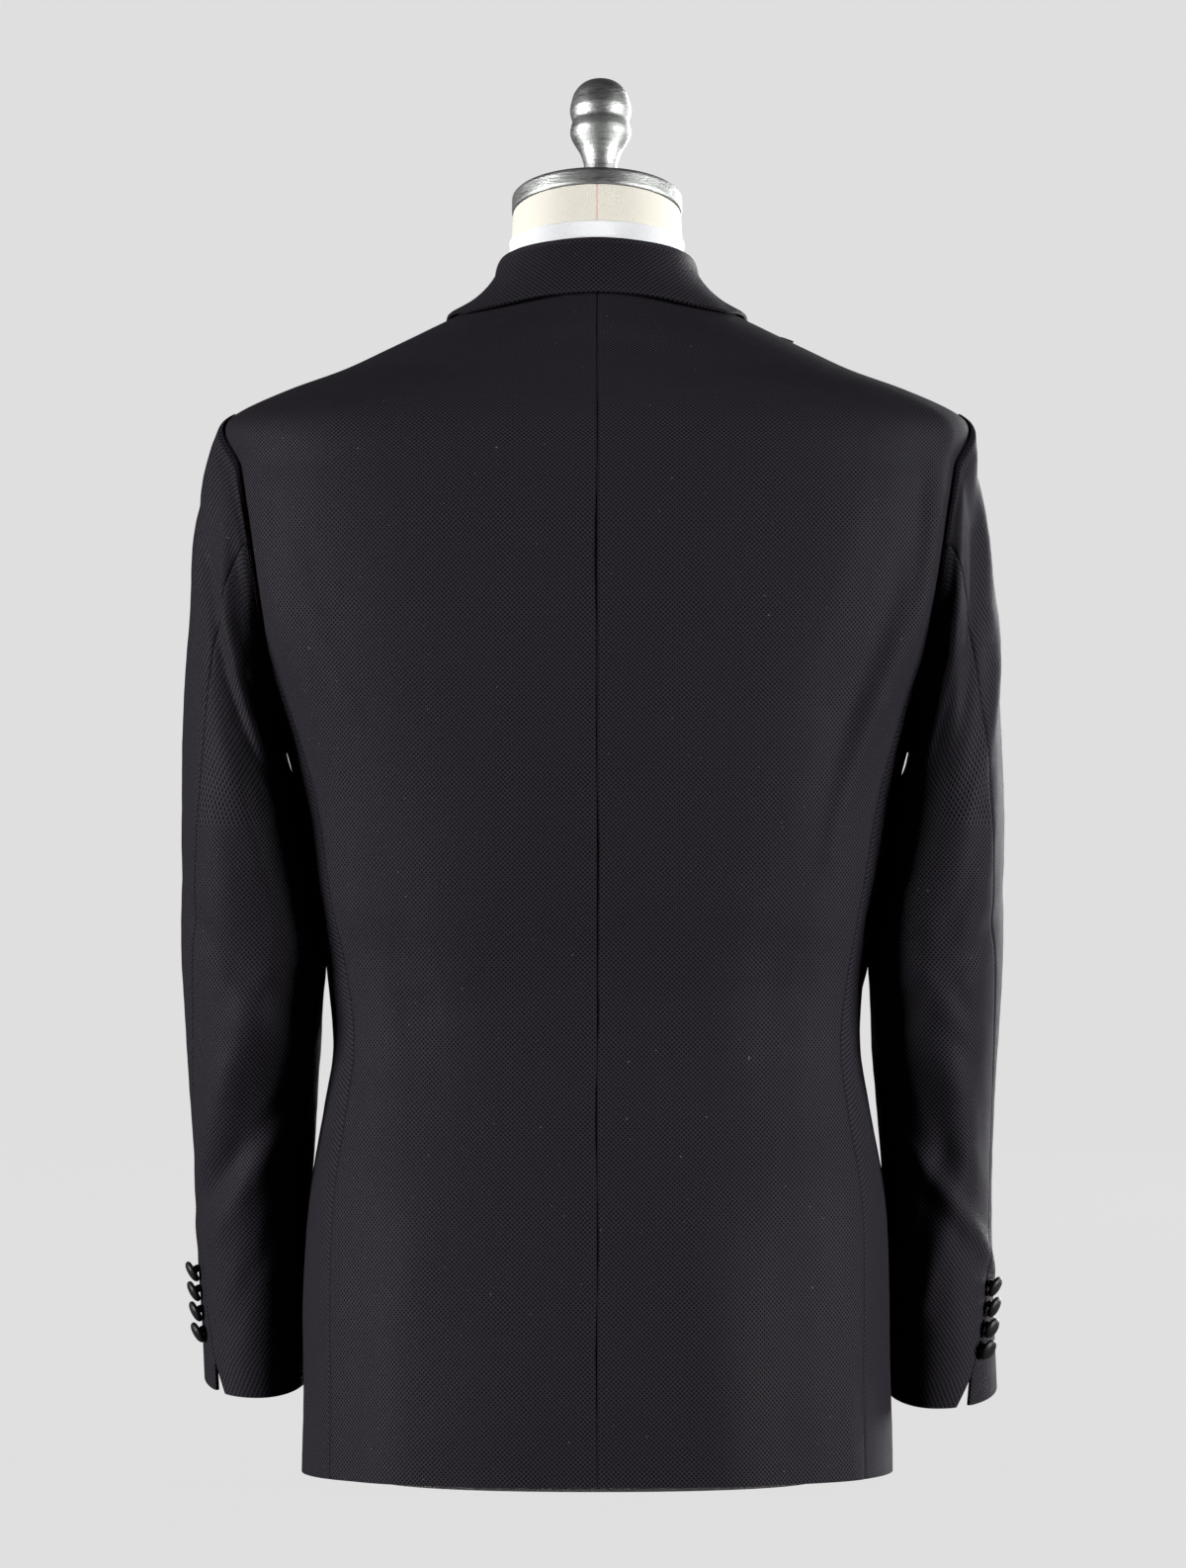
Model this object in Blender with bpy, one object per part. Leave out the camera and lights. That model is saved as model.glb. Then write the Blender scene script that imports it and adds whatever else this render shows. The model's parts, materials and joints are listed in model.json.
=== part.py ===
"""Tuxedo jacket standing on a limbless dress form. Metres, +Z up, the garment's front faces -Y.

The body of the jacket is a stack of rings from hem to neck. Every panel is a patch of that
stack between two seams, thickened inwards. The sleeves start on the armholes and run down
a bent centre line to the cuffs.
"""
import bpy
import numpy as np

# Cloth
WALL = 0.0020            # cloth with its interlining
SEAM = 0.0003            # neighbouring pieces stay this far apart
FACING_WALL = 0.0010     # satin pieces
FRONT_LAP = 0.0056       # lift of the left front over the right front and its lapel

# Shift that centres the whole object on the origin
PLACE = (-0.0024, 0.0023, 0.0)

# Armhole, an egg in the side view
ARMHOLE_Y = -0.005
ARMHOLE_Z = 0.540
ARMHOLE_RISE = 0.1065
ARMHOLE_DROP = 0.100
ARMHOLE_BACK = 0.058
ARMHOLE_FRONT = 0.066

# Sleeve
BICEPS_Z = 0.400
CUFF_Z = 0.046
VENT_TOP_Z = 0.064
VENT_SPREAD = 0.11       # radians each side of the vent at the cuff

# Trims
CUFF_BUTTON_RADIUS = 0.0068
CUFF_BUTTON_COUNT = 4
CUFF_BUTTON_TOP_Z = 0.116
CUFF_BUTTON_PITCH = 0.0120
CUFF_BUTTON_TILT = np.radians(24.0)   # each upper edge stands out over the button above
CUFF_BUTTON_SHANK = 0.0015
CUFF_BUTTON_INSET = {1: 0.0, -1: 0.5}   # share of the last strip between the row and the vent
CUFF_TWIST = {1: -10.0, -1: 8.0}      # degrees that the cuff turns the hind seam backwards
FRONT_BUTTON_RADIUS = 0.0105
FRONT_BUTTON_Z = 0.266

# Dress form
NECK_RADIUS = 0.0520
BAND_TOP_Z = 0.7495
BAND_TILT = np.radians(12.0)
CAP_TILT = np.radians(17.5)
CAP_CENTRE = (0.0, 0.0, 0.7728)
KNOB_OFFSET = -0.0022    # the knob is set a little off centre

# Body of the jacket: one row for each level
RING_COLUMNS = ("height", "half_width", "back_depth", "front_depth", "fullness")
RINGS = np.array((
    (0.006, 0.1790, 0.1350, 0.1330, 2.30),
    (0.058, 0.1780, 0.1345, 0.1330, 2.30),
    (0.118, 0.1776, 0.1310, 0.1320, 2.30),
    (0.178, 0.1740, 0.1210, 0.1280, 2.30),
    (0.226, 0.1655, 0.1070, 0.1210, 2.30),
    (0.262, 0.1600, 0.0980, 0.1170, 2.30),
    (0.316, 0.1650, 0.1000, 0.1190, 2.30),
    (0.354, 0.1720, 0.1060, 0.1230, 2.35),
    (0.422, 0.1830, 0.1140, 0.1300, 2.40),
    (0.463, 0.1947, 0.1170, 0.1320, 2.40),
    (0.517, 0.2129, 0.1170, 0.1310, 2.40),
    (0.571, 0.2215, 0.1145, 0.1270, 2.40),
    (0.612, 0.2228, 0.1085, 0.1190, 2.35),
    (0.646, 0.2190, 0.1010, 0.1080, 2.30),
    (0.661, 0.1870, 0.0960, 0.0990, 2.20),
    (0.673, 0.1540, 0.0910, 0.0910, 2.10),
    (0.685, 0.1280, 0.0860, 0.0830, 2.10),
    (0.697, 0.1030, 0.0805, 0.0750, 2.05),
    (0.709, 0.0790, 0.0735, 0.0670, 2.00),
    (0.716, 0.0670, 0.0690, 0.0610, 2.00),
))

# Seams between back, side and front: angle round the body from the centre back
SIDE_SEAM_COLUMNS = ("height", "back_seam_deg", "front_seam_deg")
SIDE_SEAMS = np.array((
    (0.006, 62.0, 99.0),
    (0.130, 63.0, 100.0),
    (0.262, 65.0, 103.0),
    (0.380, 67.0, 106.0),
    (0.500, 70.0, 109.0),
    (0.720, 70.0, 109.0),
))

# Front edge: distance from the centre front towards the wearer's own side
FRONT_EDGE_COLUMNS = ("height", "edge_x")
FRONT_EDGE = np.array((
    (0.006, 0.1180),
    (0.012, 0.0900),
    (0.030, 0.0600),
    (0.065, 0.0300),
    (0.120, 0.0060),
    (0.180, -0.0110),
    (0.235, -0.0180),
    (0.275, -0.0180),
    (0.330, -0.0060),
    (0.450, 0.0200),
    (0.600, 0.0515),
    (0.660, 0.0625),
    (0.690, 0.0670),
    (0.704, 0.0680),
    (0.716, 0.0640),
))

# Levels of the mesh rows on the body
BODY_LEVELS = np.array((
    0.006, 0.014, 0.030, 0.065, 0.105, 0.150, 0.195, 0.232, 0.262, 0.300, 0.345, 0.395,
    0.430, 0.452, 0.475, 0.500, 0.525, 0.550, 0.575, 0.600, 0.620, 0.634, 0.6425, 0.6465,
    0.654, 0.664, 0.674, 0.684, 0.694, 0.702, 0.709, 0.716,
))

# Soft folds of the body: place, run and depth (a trough is negative)
BODY_FOLD_COLUMNS = ("side", "angle_deg", "height", "width_deg", "length", "slant_deg_per_m", "depth")
BODY_FOLDS = (
    (-1, 59.0, 0.520, 5.0, 0.090, 55.0, 0.0060),
    (-1, 50.0, 0.500, 5.0, 0.080, 60.0, -0.0030),
    (1, 58.0, 0.520, 5.0, 0.080, 40.0, 0.0030),
    (1, 40.0, 0.300, 9.0, 0.070, 30.0, -0.0020),
    (-1, 38.0, 0.290, 9.0, 0.070, -30.0, -0.0020),
    (1, 16.0, 0.060, 10.0, 0.080, 0.0, 0.0025),
    (-1, 20.0, 0.070, 10.0, 0.080, 0.0, 0.0022),
)

# Sleeve rings below the biceps
SLEEVE_COLUMNS = ("height", "inner_x", "outer_x", "centre_y", "half_depth", "fullness", "rise")
SLEEVE_RINGS = np.array((
    (0.400, 0.1808, 0.2490, -0.0040, 0.0660, 2.20, 0.00),
    (0.352, 0.1730, 0.2487, -0.0070, 0.0640, 2.20, 0.02),
    (0.316, 0.1667, 0.2484, -0.0100, 0.0620, 2.20, 0.05),
    (0.280, 0.1670, 0.2466, -0.0150, 0.0605, 2.15, 0.09),
    (0.226, 0.1700, 0.2435, -0.0240, 0.0585, 2.10, 0.14),
    (0.172, 0.1738, 0.2400, -0.0330, 0.0565, 2.10, 0.18),
    (0.100, 0.1755, 0.2370, -0.0440, 0.0540, 2.10, 0.20),
    (0.046, 0.1765, 0.2360, -0.0510, 0.0530, 2.10, 0.20),
))

# Sleeve seams: angle from the outer side towards the back, along the sleeve (0 to 1 is the cap)
SLEEVE_SEAM_COLUMNS = ("along", "hind_deg", "fore_deg")
SLEEVE_SEAMS = np.array((
    (0.00, 76.0, -112.0),
    (0.50, 60.0, -116.0),
    (1.00, 47.0, -120.0),
    (1.30, 32.0, -122.0),
    (1.60, 20.0, -122.0),
    (1.85, 34.0, -122.0),
    (2.00, 58.0, -122.0),
))

# The two arms hang a little differently: outward shift and lift along each sleeve
HANG_COLUMNS = ("along", "left_out", "right_out", "left_lift", "right_lift")
HANG = np.array((
    (0.00, 0.0000, 0.0000, 0.0000, 0.0000),
    (0.05, -0.0002, -0.0008, 0.0000, 0.0000),
    (0.13, -0.0010, -0.0040, 0.0000, 0.0000),
    (0.22, -0.0010, -0.0062, 0.0000, 0.0000),
    (0.30, 0.0000, -0.0058, 0.0000, 0.0000),
    (0.60, 0.0026, -0.0052, 0.0000, 0.0000),
    (1.00, 0.0034, -0.0014, 0.0000, 0.0000),
    (1.30, 0.0038, -0.0014, 0.0015, 0.0000),
    (1.60, 0.0044, -0.0016, 0.0035, 0.0000),
    (1.85, 0.0026, 0.0006, 0.0060, 0.0000),
    (2.00, 0.0010, 0.0030, 0.0065, 0.0000),
))

# Mesh rows along a sleeve
SLEEVE_ROWS = np.array((
    -0.012, 0.004, 0.05, 0.10, 0.16, 0.23, 0.31, 0.40, 0.50, 0.64, 0.82, 1.00, 1.11, 1.20, 1.29, 1.37,
    1.46, 1.58, 1.72, 1.84, 1.92, 1.955, 2.00,
))

TOP_SLEEVE_COLUMNS = 12
UNDER_SLEEVE_COLUMNS = 11

# Soft folds of the sleeves: place along and round, run and depth
SLEEVE_FOLD_COLUMNS = ("side", "angle_deg", "along", "width_deg", "length", "slant_deg", "depth")
SLEEVE_FOLDS = (
    (1, 44.0, 0.40, 13.0, 0.28, -40.0, -0.0060),
    (1, 74.0, 0.55, 12.0, 0.26, 60.0, -0.0055),
    (1, 60.0, 0.34, 9.0, 0.24, 20.0, 0.0040),
    (-1, 54.0, 0.46, 14.0, 0.34, 45.0, -0.0055),
    (-1, 88.0, 0.40, 11.0, 0.30, 40.0, 0.0045),
    (-1, 36.0, 0.70, 10.0, 0.24, 40.0, 0.0035),
    (1, 70.0, 1.22, 12.0, 0.10, 50.0, -0.0040),
    (-1, 80.0, 1.24, 12.0, 0.10, 60.0, -0.0045),
    (1, 84.0, 1.62, 13.0, 0.16, -70.0, 0.0035),
    (1, 60.0, 1.60, 11.0, 0.14, -70.0, -0.0035),
    (-1, 70.0, 1.66, 13.0, 0.18, -80.0, 0.0035),
    (1, 200.0, 1.20, 16.0, 0.10, 30.0, -0.0035),
    (-1, 200.0, 1.20, 16.0, 0.10, 30.0, -0.0035),
    (1, -60.0, 0.50, 14.0, 0.26, 30.0, -0.0050),
    (-1, -60.0, 0.50, 14.0, 0.26, 30.0, -0.0050),
)

# Collar: guide lines from the centre back (0) to the gorge (1)
COLLAR_COLUMNS = ("along", "x", "y", "z")
FALL_EDGE = np.array((
    (0.00, 0.0000, 0.0752, 0.7168),
    (0.20, 0.0310, 0.0714, 0.7150),
    (0.40, 0.0600, 0.0592, 0.7102),
    (0.58, 0.0800, 0.0385, 0.7075),
    (0.74, 0.0885, 0.0060, 0.7065),
    (0.88, 0.0925, -0.0540, 0.6905),
    (1.00, 0.0950, -0.0975, 0.6530),
))
ROLL_LINE = np.array((
    (0.00, 0.0000, 0.0570, 0.7510),
    (0.20, 0.0280, 0.0510, 0.7490),
    (0.40, 0.0480, 0.0330, 0.7450),
    (0.58, 0.0575, 0.0060, 0.7390),
    (0.74, 0.0610, -0.0230, 0.7270),
    (0.88, 0.0625, -0.0570, 0.7080),
    (1.00, 0.0635, -0.0840, 0.6800),
))
STAND_FOOT = np.array((
    (0.00, 0.0000, 0.0640, 0.7168),
    (0.20, 0.0285, 0.0575, 0.7168),
    (0.40, 0.0480, 0.0405, 0.7168),
    (0.58, 0.0590, 0.0170, 0.7168),
    (0.74, 0.0612, -0.0140, 0.7140),
    (0.88, 0.0612, -0.0520, 0.7010),
    (1.00, 0.0615, -0.0805, 0.6760),
))

COLLAR_LIFT = 0.0038     # of the fall above the shoulder, on its visible face

# Lapel outline on the front: (x, z)
LAPEL_ROLL = np.array(((-0.0150, 0.2900), (0.0070, 0.3900), (0.0330, 0.5100), (0.0570, 0.6250), (0.0665, 0.6690)))
LAPEL_EDGE = {
    1: np.array(((-0.0120, 0.2900), (0.0420, 0.3900), (0.0880, 0.5100), (0.1170, 0.6060), (0.1220, 0.6800))),
    -1: np.array(((-0.0120, 0.2900), (0.0420, 0.3900), (0.0880, 0.5100), (0.1170, 0.6060), (0.1180, 0.6875))),
}
LAPEL_TOP = {
    1: np.array(((0.0665, 0.6690), (0.0800, 0.6575), (0.0940, 0.6445), (0.1090, 0.6625), (0.1220, 0.6800))),
    -1: np.array((
        (0.0665, 0.6690), (0.0800, 0.6575), (0.0940, 0.6445), (0.1010, 0.6690), (0.1060, 0.6890), (0.1180, 0.6875))),
}
RIGHT_POINT_LIFT = 0.0016   # the photo shows the right lapel's point over the shoulder

# Dress form under the cloth
FORM_COLUMNS = ("height", "half_width", "back_depth", "front_depth", "fullness")
FORM_RINGS = np.array((
    (0.0000, 0.1330, 0.0900, 0.0900, 2.20),
    (0.0040, 0.1480, 0.1050, 0.1050, 2.20),
    (0.0140, 0.1590, 0.1150, 0.1150, 2.20),
    (0.0300, 0.1640, 0.1190, 0.1200, 2.25),
    (0.1180, 0.1650, 0.1190, 0.1200, 2.30),
    (0.1780, 0.1620, 0.1110, 0.1170, 2.30),
    (0.2620, 0.1520, 0.0900, 0.1080, 2.30),
    (0.3540, 0.1640, 0.0980, 0.1150, 2.35),
    (0.4220, 0.1755, 0.1075, 0.1230, 2.40),
    (0.4630, 0.1860, 0.1110, 0.1260, 2.40),
    (0.5170, 0.2030, 0.1115, 0.1250, 2.40),
    (0.5710, 0.2110, 0.1090, 0.1210, 2.40),
    (0.6120, 0.2150, 0.1045, 0.1150, 2.35),
    (0.6340, 0.2130, 0.0990, 0.1080, 2.30),
    (0.6435, 0.2060, 0.0975, 0.1045, 2.25),
    (0.6582, 0.1862, 0.0930, 0.0960, 2.20),
    (0.6702, 0.1535, 0.0880, 0.0880, 2.10),
    (0.6822, 0.1275, 0.0830, 0.0800, 2.10),
    (0.6942, 0.1025, 0.0775, 0.0720, 2.05),
    (0.7050, 0.0760, 0.0690, 0.0630, 2.00),
    (0.7120, 0.0585, 0.0585, 0.0570, 2.00),
    (0.7220, 0.0535, 0.0535, 0.0530, 2.00),
    (0.7492, 0.0530, 0.0530, 0.0530, 2.00),
))

# Turned knob: radius by height above its foot
KNOB_PROFILE = (
    (0.0125, 0.0000), (0.0104, 0.0060), (0.0102, 0.0180), (0.0124, 0.0250), (0.0157, 0.0310),
    (0.0185, 0.0385), (0.0173, 0.0454), (0.0187, 0.0519), (0.0177, 0.0585), (0.0160, 0.0640),
    (0.0118, 0.0692), (0.0050, 0.0725),
)
CAP_PROFILE = (
    (0.0440, -0.0060), (0.0506, -0.0060), (0.0516, -0.0045), (0.0516, 0.0045), (0.0506, 0.0060),
    (0.0440, 0.0066), (0.0300, 0.0080), (0.0150, 0.0088),
)

# Colours (linear) and finish of each material
MATERIALS = {
    "black_cloth": ((0.0075, 0.0068, 0.0085), 0.62, 0.0),
    "black_satin": ((0.0060, 0.0055, 0.0070), 0.36, 0.0),
    "white_jersey": ((0.78, 0.77, 0.75), 0.90, 0.0),
    "cream_linen": ((0.62, 0.55, 0.44), 0.90, 0.0),
    "cast_aluminium": ((0.62, 0.62, 0.61), 0.38, 1.0),
}


def smooth(x, xs, ys):
    """Value at x of the cubic through the points (xs, ys), with central slopes."""
    x = np.clip(x, xs[0], xs[-1])
    slopes = np.gradient(ys, xs)
    i = np.clip(np.searchsorted(xs, x, side="right") - 1, 0, len(xs) - 2)
    span = xs[i + 1] - xs[i]
    t = (x - xs[i]) / span
    rise = (1.0 + 2.0 * t) * (1.0 - t) ** 2 * ys[i] + t * t * (3.0 - 2.0 * t) * ys[i + 1]
    turn = t * (1.0 - t) ** 2 * slopes[i] - t * t * (1.0 - t) * slopes[i + 1]
    return rise + span * turn


def column(table, number):
    """Function of height that reads one column of a table."""
    return lambda z: smooth(z, table[:, 0], table[:, number])


def signed_power(value, power):
    """Power that keeps the sign."""
    return np.sign(value) * np.abs(value) ** power


def ring_point(table, angle, z):
    """Point of a ring: angle 0 is the centre back, pi/2 the wearer's left side, pi the front."""
    width = column(table, 1)(z)
    depth = np.where(np.cos(angle) >= 0.0, column(table, 2)(z), column(table, 3)(z))
    power = 2.0 / column(table, 4)(z)
    x = width * signed_power(np.sin(angle), power)
    y = depth * signed_power(np.cos(angle), power)
    return np.stack((x, y, z + 0.0 * x), axis=-1)


def body_folds(side, angle, z):
    """Height of the soft folds of the jacket's body at (angle, z)."""
    height = np.zeros(np.broadcast(angle, z).shape)
    for fold_side, at_angle, at_z, width, length, slant, depth in BODY_FOLDS:
        if fold_side != side:
            continue
        across = (np.degrees(angle) - at_angle - slant * (z - at_z)) / width
        along = (z - at_z) / length
        height = height + depth * np.exp(-across ** 2 - along ** 2)
    return height


def body_surface(side, angle, z):
    """Outer face of the jacket's body on one side (+1 is the wearer's left)."""
    angle, z = np.broadcast_arrays(angle, z)
    points = ring_point(RINGS, angle, z)
    outward = np.stack((np.sin(angle), np.cos(angle), 0.0 * z), axis=-1)
    points = points + outward * body_folds(side, angle, z)[..., None]
    return points * np.array((side, 1.0, 1.0))


def surface_normal(surface, u, v, step_u, step_v):
    """Unit normal of a two-parameter surface from central differences."""
    along_u = surface(u + step_u, v) - surface(u - step_u, v)
    along_v = surface(u, v + step_v) - surface(u, v - step_v)
    normal = np.cross(along_u, along_v)
    return normal / np.maximum(np.linalg.norm(normal, axis=-1, keepdims=True), 1e-12)


def body_normal(side, angle, z):
    """Outward normal of the jacket's body."""
    z = np.clip(z, RINGS[0, 0] + 0.0006, RINGS[-1, 0] - 0.0006)
    angle = np.where(np.abs(angle - np.pi / 2) < 0.02, np.pi / 2 + 0.02, angle)
    normal = surface_normal(lambda a, h: body_surface(side, a, h), angle, z, 0.004, 0.0005)
    return normal * -side


def body_at(side, angle, z, lift=0.0):
    """Point of the body's outer face moved out along its normal."""
    lift = np.asarray(lift)[..., None] if np.ndim(lift) else lift
    return body_surface(side, angle, z) + body_normal(side, angle, z) * lift


def angle_at_y(y, z):
    """Angle of the ring's point that has the given y."""
    depth = np.where(y >= 0.0, column(RINGS, 2)(z), column(RINGS, 3)(z))
    share = np.clip(np.abs(y) / depth, 0.0, 1.0) ** (column(RINGS, 4)(z) / 2.0)
    return np.arccos(np.sign(y) * share)


def front_angle_at_x(x, z):
    """Angle of the front's point at x, measured to the wearer's own side."""
    share = np.clip(np.abs(x) / column(RINGS, 1)(z), 0.0, 0.9995) ** (column(RINGS, 4)(z) / 2.0)
    return np.pi - np.arcsin(np.sign(x) * share)


def armhole_half(z, depth):
    """Half opening of the armhole at a level, 0 outside it."""
    reach = np.where(z >= ARMHOLE_Z, ARMHOLE_RISE, ARMHOLE_DROP)
    return depth * np.sqrt(np.clip(1.0 - ((z - ARMHOLE_Z) / reach) ** 2, 0.0, 1.0))


def back_limit(z):
    """Angle where the back panel ends: side seam, then armhole, then shoulder seam."""
    seam = np.radians(column(SIDE_SEAMS, 1)(z))
    armhole = angle_at_y(ARMHOLE_Y + armhole_half(z, ARMHOLE_BACK), z)
    return np.where(z < ARMHOLE_Z, np.minimum(seam, armhole), armhole)


def front_limit(z):
    """Angle where the front panel begins: side seam, then armhole, then shoulder seam."""
    seam = np.radians(column(SIDE_SEAMS, 2)(z))
    armhole = angle_at_y(ARMHOLE_Y - armhole_half(z, ARMHOLE_FRONT), z)
    return np.where(z < ARMHOLE_Z, np.maximum(seam, armhole), armhole)


def inset(points, normals, gap=SEAM):
    """Move both long edges of a panel half a seam's opening inwards, along the surface."""
    points = points.copy()
    run = np.gradient(points, axis=0)
    for edge, beside in ((0, 1), (-1, -2)):
        across = np.cross(normals[:, edge], run[:, edge])
        across /= np.linalg.norm(across, axis=-1, keepdims=True)
        inwards = points[:, beside] - points[:, edge]
        across *= np.sign(np.sum(across * inwards, axis=-1, keepdims=True))
        points[:, edge] += across * 0.5 * gap
    return points


def shell(outer, normals, wall):
    """Closed sheet: the outer grid, the same grid one wall inwards, and the four edges."""
    rows, columns = outer.shape[:2]
    inner = outer - normals * wall
    vertices = np.concatenate((outer.reshape(-1, 3), inner.reshape(-1, 3)))
    index = np.arange(rows * columns).reshape(rows, columns)
    under = index + rows * columns
    faces = [quads(index), quads(under)[:, ::-1]]
    loop = np.concatenate((index[0, :], index[1:, -1], index[-1, -2::-1], index[-2:0:-1, 0]))
    after = np.roll(loop, -1)
    faces.append(np.stack((after, loop, loop + rows * columns, after + rows * columns), axis=-1))
    return vertices, np.concatenate(faces)


def quads(index):
    """Quads of a grid of vertex numbers."""
    return np.stack((index[:-1, :-1], index[:-1, 1:], index[1:, 1:], index[1:, :-1]), axis=-1).reshape(-1, 4)


def material(name):
    """Principled material by its name."""
    found = bpy.data.materials.get(name)
    if found:
        return found
    colour, roughness, metallic = MATERIALS[name]
    found = bpy.data.materials.new(name)
    found.use_nodes = True
    shader = found.node_tree.nodes["Principled BSDF"]
    shader.inputs["Base Color"].default_value = (*colour, 1.0)
    shader.inputs["Roughness"].default_value = roughness
    shader.inputs["Metallic"].default_value = metallic
    found.diffuse_color = (*colour, 1.0)
    return found


def signed_volume(vertices, faces):
    """Volume that the faces enclose, negative when they look inwards."""
    a = vertices[faces[:, 0]]
    total = 0.0
    for second, third in ((1, 2), (2, 3))[:faces.shape[1] - 2]:
        total += np.einsum("ij,ij->i", a, np.cross(vertices[faces[:, second]], vertices[faces[:, third]])).sum()
    return total / 6.0


def add_piece(name, slot, vertices, faces):
    """Put one closed piece into the scene, facing outwards."""
    mesh = bpy.data.meshes.new(name)
    vertices = vertices + np.array(PLACE)
    mesh.from_pydata(vertices.tolist(), [], [tuple(int(i) for i in face) for face in faces])
    piece = bpy.data.objects.new(name, mesh)
    bpy.context.scene.collection.objects.link(piece)
    mesh.materials.append(material(slot))
    return piece


def add_shell(name, slot, outer, normals, wall=WALL, gap=SEAM):
    """Put one thin sheet into the scene, half a seam short of each long edge."""
    vertices, faces = shell(inset(outer, normals, gap), normals, wall)
    if signed_volume(vertices, faces) < 0.0:
        faces = faces[:, ::-1]
    return add_piece(name, slot, vertices, faces)


def add_turned(name, slot, profile, centre, tilt=0.0, steps=24):
    """Solid of revolution from (radius, height) pairs, tipped about X by tilt."""
    profile = np.array(profile)
    turn = np.arange(steps) * 2.0 * np.pi / steps
    rings = np.stack((
        profile[:, :1] * np.cos(turn), profile[:, :1] * np.sin(turn), profile[:, 1:] + 0.0 * turn,
    ), axis=-1)
    ends = np.array(((0.0, 0.0, profile[0, 1]), (0.0, 0.0, profile[-1, 1])))
    vertices = np.concatenate((rings.reshape(-1, 3), ends))
    cosine, sine = np.cos(tilt), np.sin(tilt)
    spin = np.array(((1.0, 0.0, 0.0), (0.0, cosine, -sine), (0.0, sine, cosine)))
    vertices = vertices @ spin.T + np.array(centre)
    return add_piece(name, slot, vertices, turned_faces(len(profile), steps))


def turned_faces(levels, steps):
    """Faces of a turned solid: walls, then a fan at each end."""
    faces = []
    foot = levels * steps
    for i in range(steps):
        j = (i + 1) % steps
        for level in range(levels - 1):
            low = level * steps
            faces.append((low + i, low + j, low + steps + j, low + steps + i))
        faces.append((foot, j, i))
        faces.append((foot + 1, foot - steps + i, foot - steps + j))
    return faces


def body_panel(start, end, levels, columns):
    """Grid of (angle, z) between two seam functions of the level."""
    share = np.linspace(0.0, 1.0, columns)
    low = start(levels)[:, None]
    high = end(levels)[:, None]
    return low + (high - low) * share, levels[:, None] + 0.0 * share


def build_back(side, name):
    """Back panel from the centre-back seam to side seam, armhole and shoulder seam."""
    angle, z = body_panel(lambda h: 0.0 * h, back_limit, BODY_LEVELS, 10)
    points = body_at(side, angle, z)
    return add_shell(name, "black_cloth", points, body_normal(side, angle, z))


def front_lap(side, angle):
    """Lift of the left front where it lies over the right one."""
    if side < 0:
        return 0.0 * angle
    return FRONT_LAP * np.clip((np.degrees(angle) - 152.0) / 20.0, 0.0, 1.0)


def build_front(side, name):
    """Front panel from side seam, armhole and shoulder seam to the front edge."""
    edge = lambda h: front_angle_at_x(column(FRONT_EDGE, 1)(h), h)
    angle, z = body_panel(front_limit, edge, BODY_LEVELS, 9)
    points = body_at(side, angle, z, front_lap(side, angle))
    return add_shell(name, "black_cloth", points, body_normal(side, angle, z))


def armhole_floor(angle):
    """Level of the armhole's lower edge above each angle of the side panel."""
    z = np.full_like(angle, ARMHOLE_Z - 0.8 * ARMHOLE_DROP)
    for _ in range(12):
        y = ring_point(RINGS, angle, z)[..., 1] - ARMHOLE_Y
        share = np.clip(np.abs(y) / np.where(y > 0.0, ARMHOLE_BACK, ARMHOLE_FRONT), 0.0, 0.995)
        z = 0.5 * z + 0.5 * (ARMHOLE_Z - ARMHOLE_DROP * np.sqrt(1.0 - share ** 2))
    return z


def build_side(side, name):
    """Side panel under the arm, from hem to armhole."""
    share = np.linspace(0.0, 1.0, 9)
    straight = BODY_LEVELS[BODY_LEVELS < 0.40][:, None]
    rise = np.array((0.34, 0.67, 1.0))[:, None]
    z = np.concatenate((straight + 0.0 * share, 0.44 * rise + 0.0 * share))
    for _ in range(6):
        low = np.radians(column(SIDE_SEAMS, 1)(z))
        high = np.radians(column(SIDE_SEAMS, 2)(z))
        angle = low + (high - low) * share
        top = straight[-1] + rise * (armhole_floor(angle[-1]) - straight[-1])
        z = np.concatenate((straight + 0.0 * share, top))
    points = body_at(side, angle, z)
    return add_shell(name, "black_cloth", points, body_normal(side, angle, z), gap=2.0 * SEAM)


def armhole_ring(side, round_deg):
    """Armhole edge at an angle: 0 is the shoulder point, 90 the back, 180 the armpit."""
    turn = np.radians(round_deg)
    reach = np.where(np.cos(turn) >= 0.0, ARMHOLE_RISE, ARMHOLE_DROP)
    depth = np.where(np.sin(turn) >= 0.0, ARMHOLE_BACK, ARMHOLE_FRONT)
    z = ARMHOLE_Z + reach * np.cos(turn)
    y = ARMHOLE_Y + depth * np.sin(turn)
    angle = angle_at_y(y, z)
    return body_surface(side, angle, z), body_normal(side, angle, z)


def sleeve_start(side, round_deg):
    """Start of the sleeve inside the armhole, and the armhole's outward direction."""
    point, normal = armhole_ring(side, round_deg)
    centre = np.array((0.0, ARMHOLE_Y, ARMHOLE_Z))
    inward = centre - point
    inward[..., 0] = 0.0
    inward -= normal * np.sum(inward * normal, axis=-1, keepdims=True)
    inward /= np.linalg.norm(inward, axis=-1, keepdims=True)
    return point + inward * 0.0013, normal


def sleeve_ring(side, round_deg, z):
    """Point of the tube below the biceps: 0 is the outer side, 90 the back."""
    turn = np.radians(round_deg)
    inner = column(SLEEVE_RINGS_UP, 1)(z)
    outer = column(SLEEVE_RINGS_UP, 2)(z)
    power = 2.0 / column(SLEEVE_RINGS_UP, 5)(z)
    x = 0.5 * (inner + outer) + 0.5 * (outer - inner) * signed_power(np.cos(turn), power)
    across = column(SLEEVE_RINGS_UP, 4)(z) * signed_power(np.sin(turn), power)
    height = z + column(SLEEVE_RINGS_UP, 6)(z) * (0.053 - across) - 0.003
    return np.stack((side * x, column(SLEEVE_RINGS_UP, 3)(z) + across, height), axis=-1)


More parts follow.
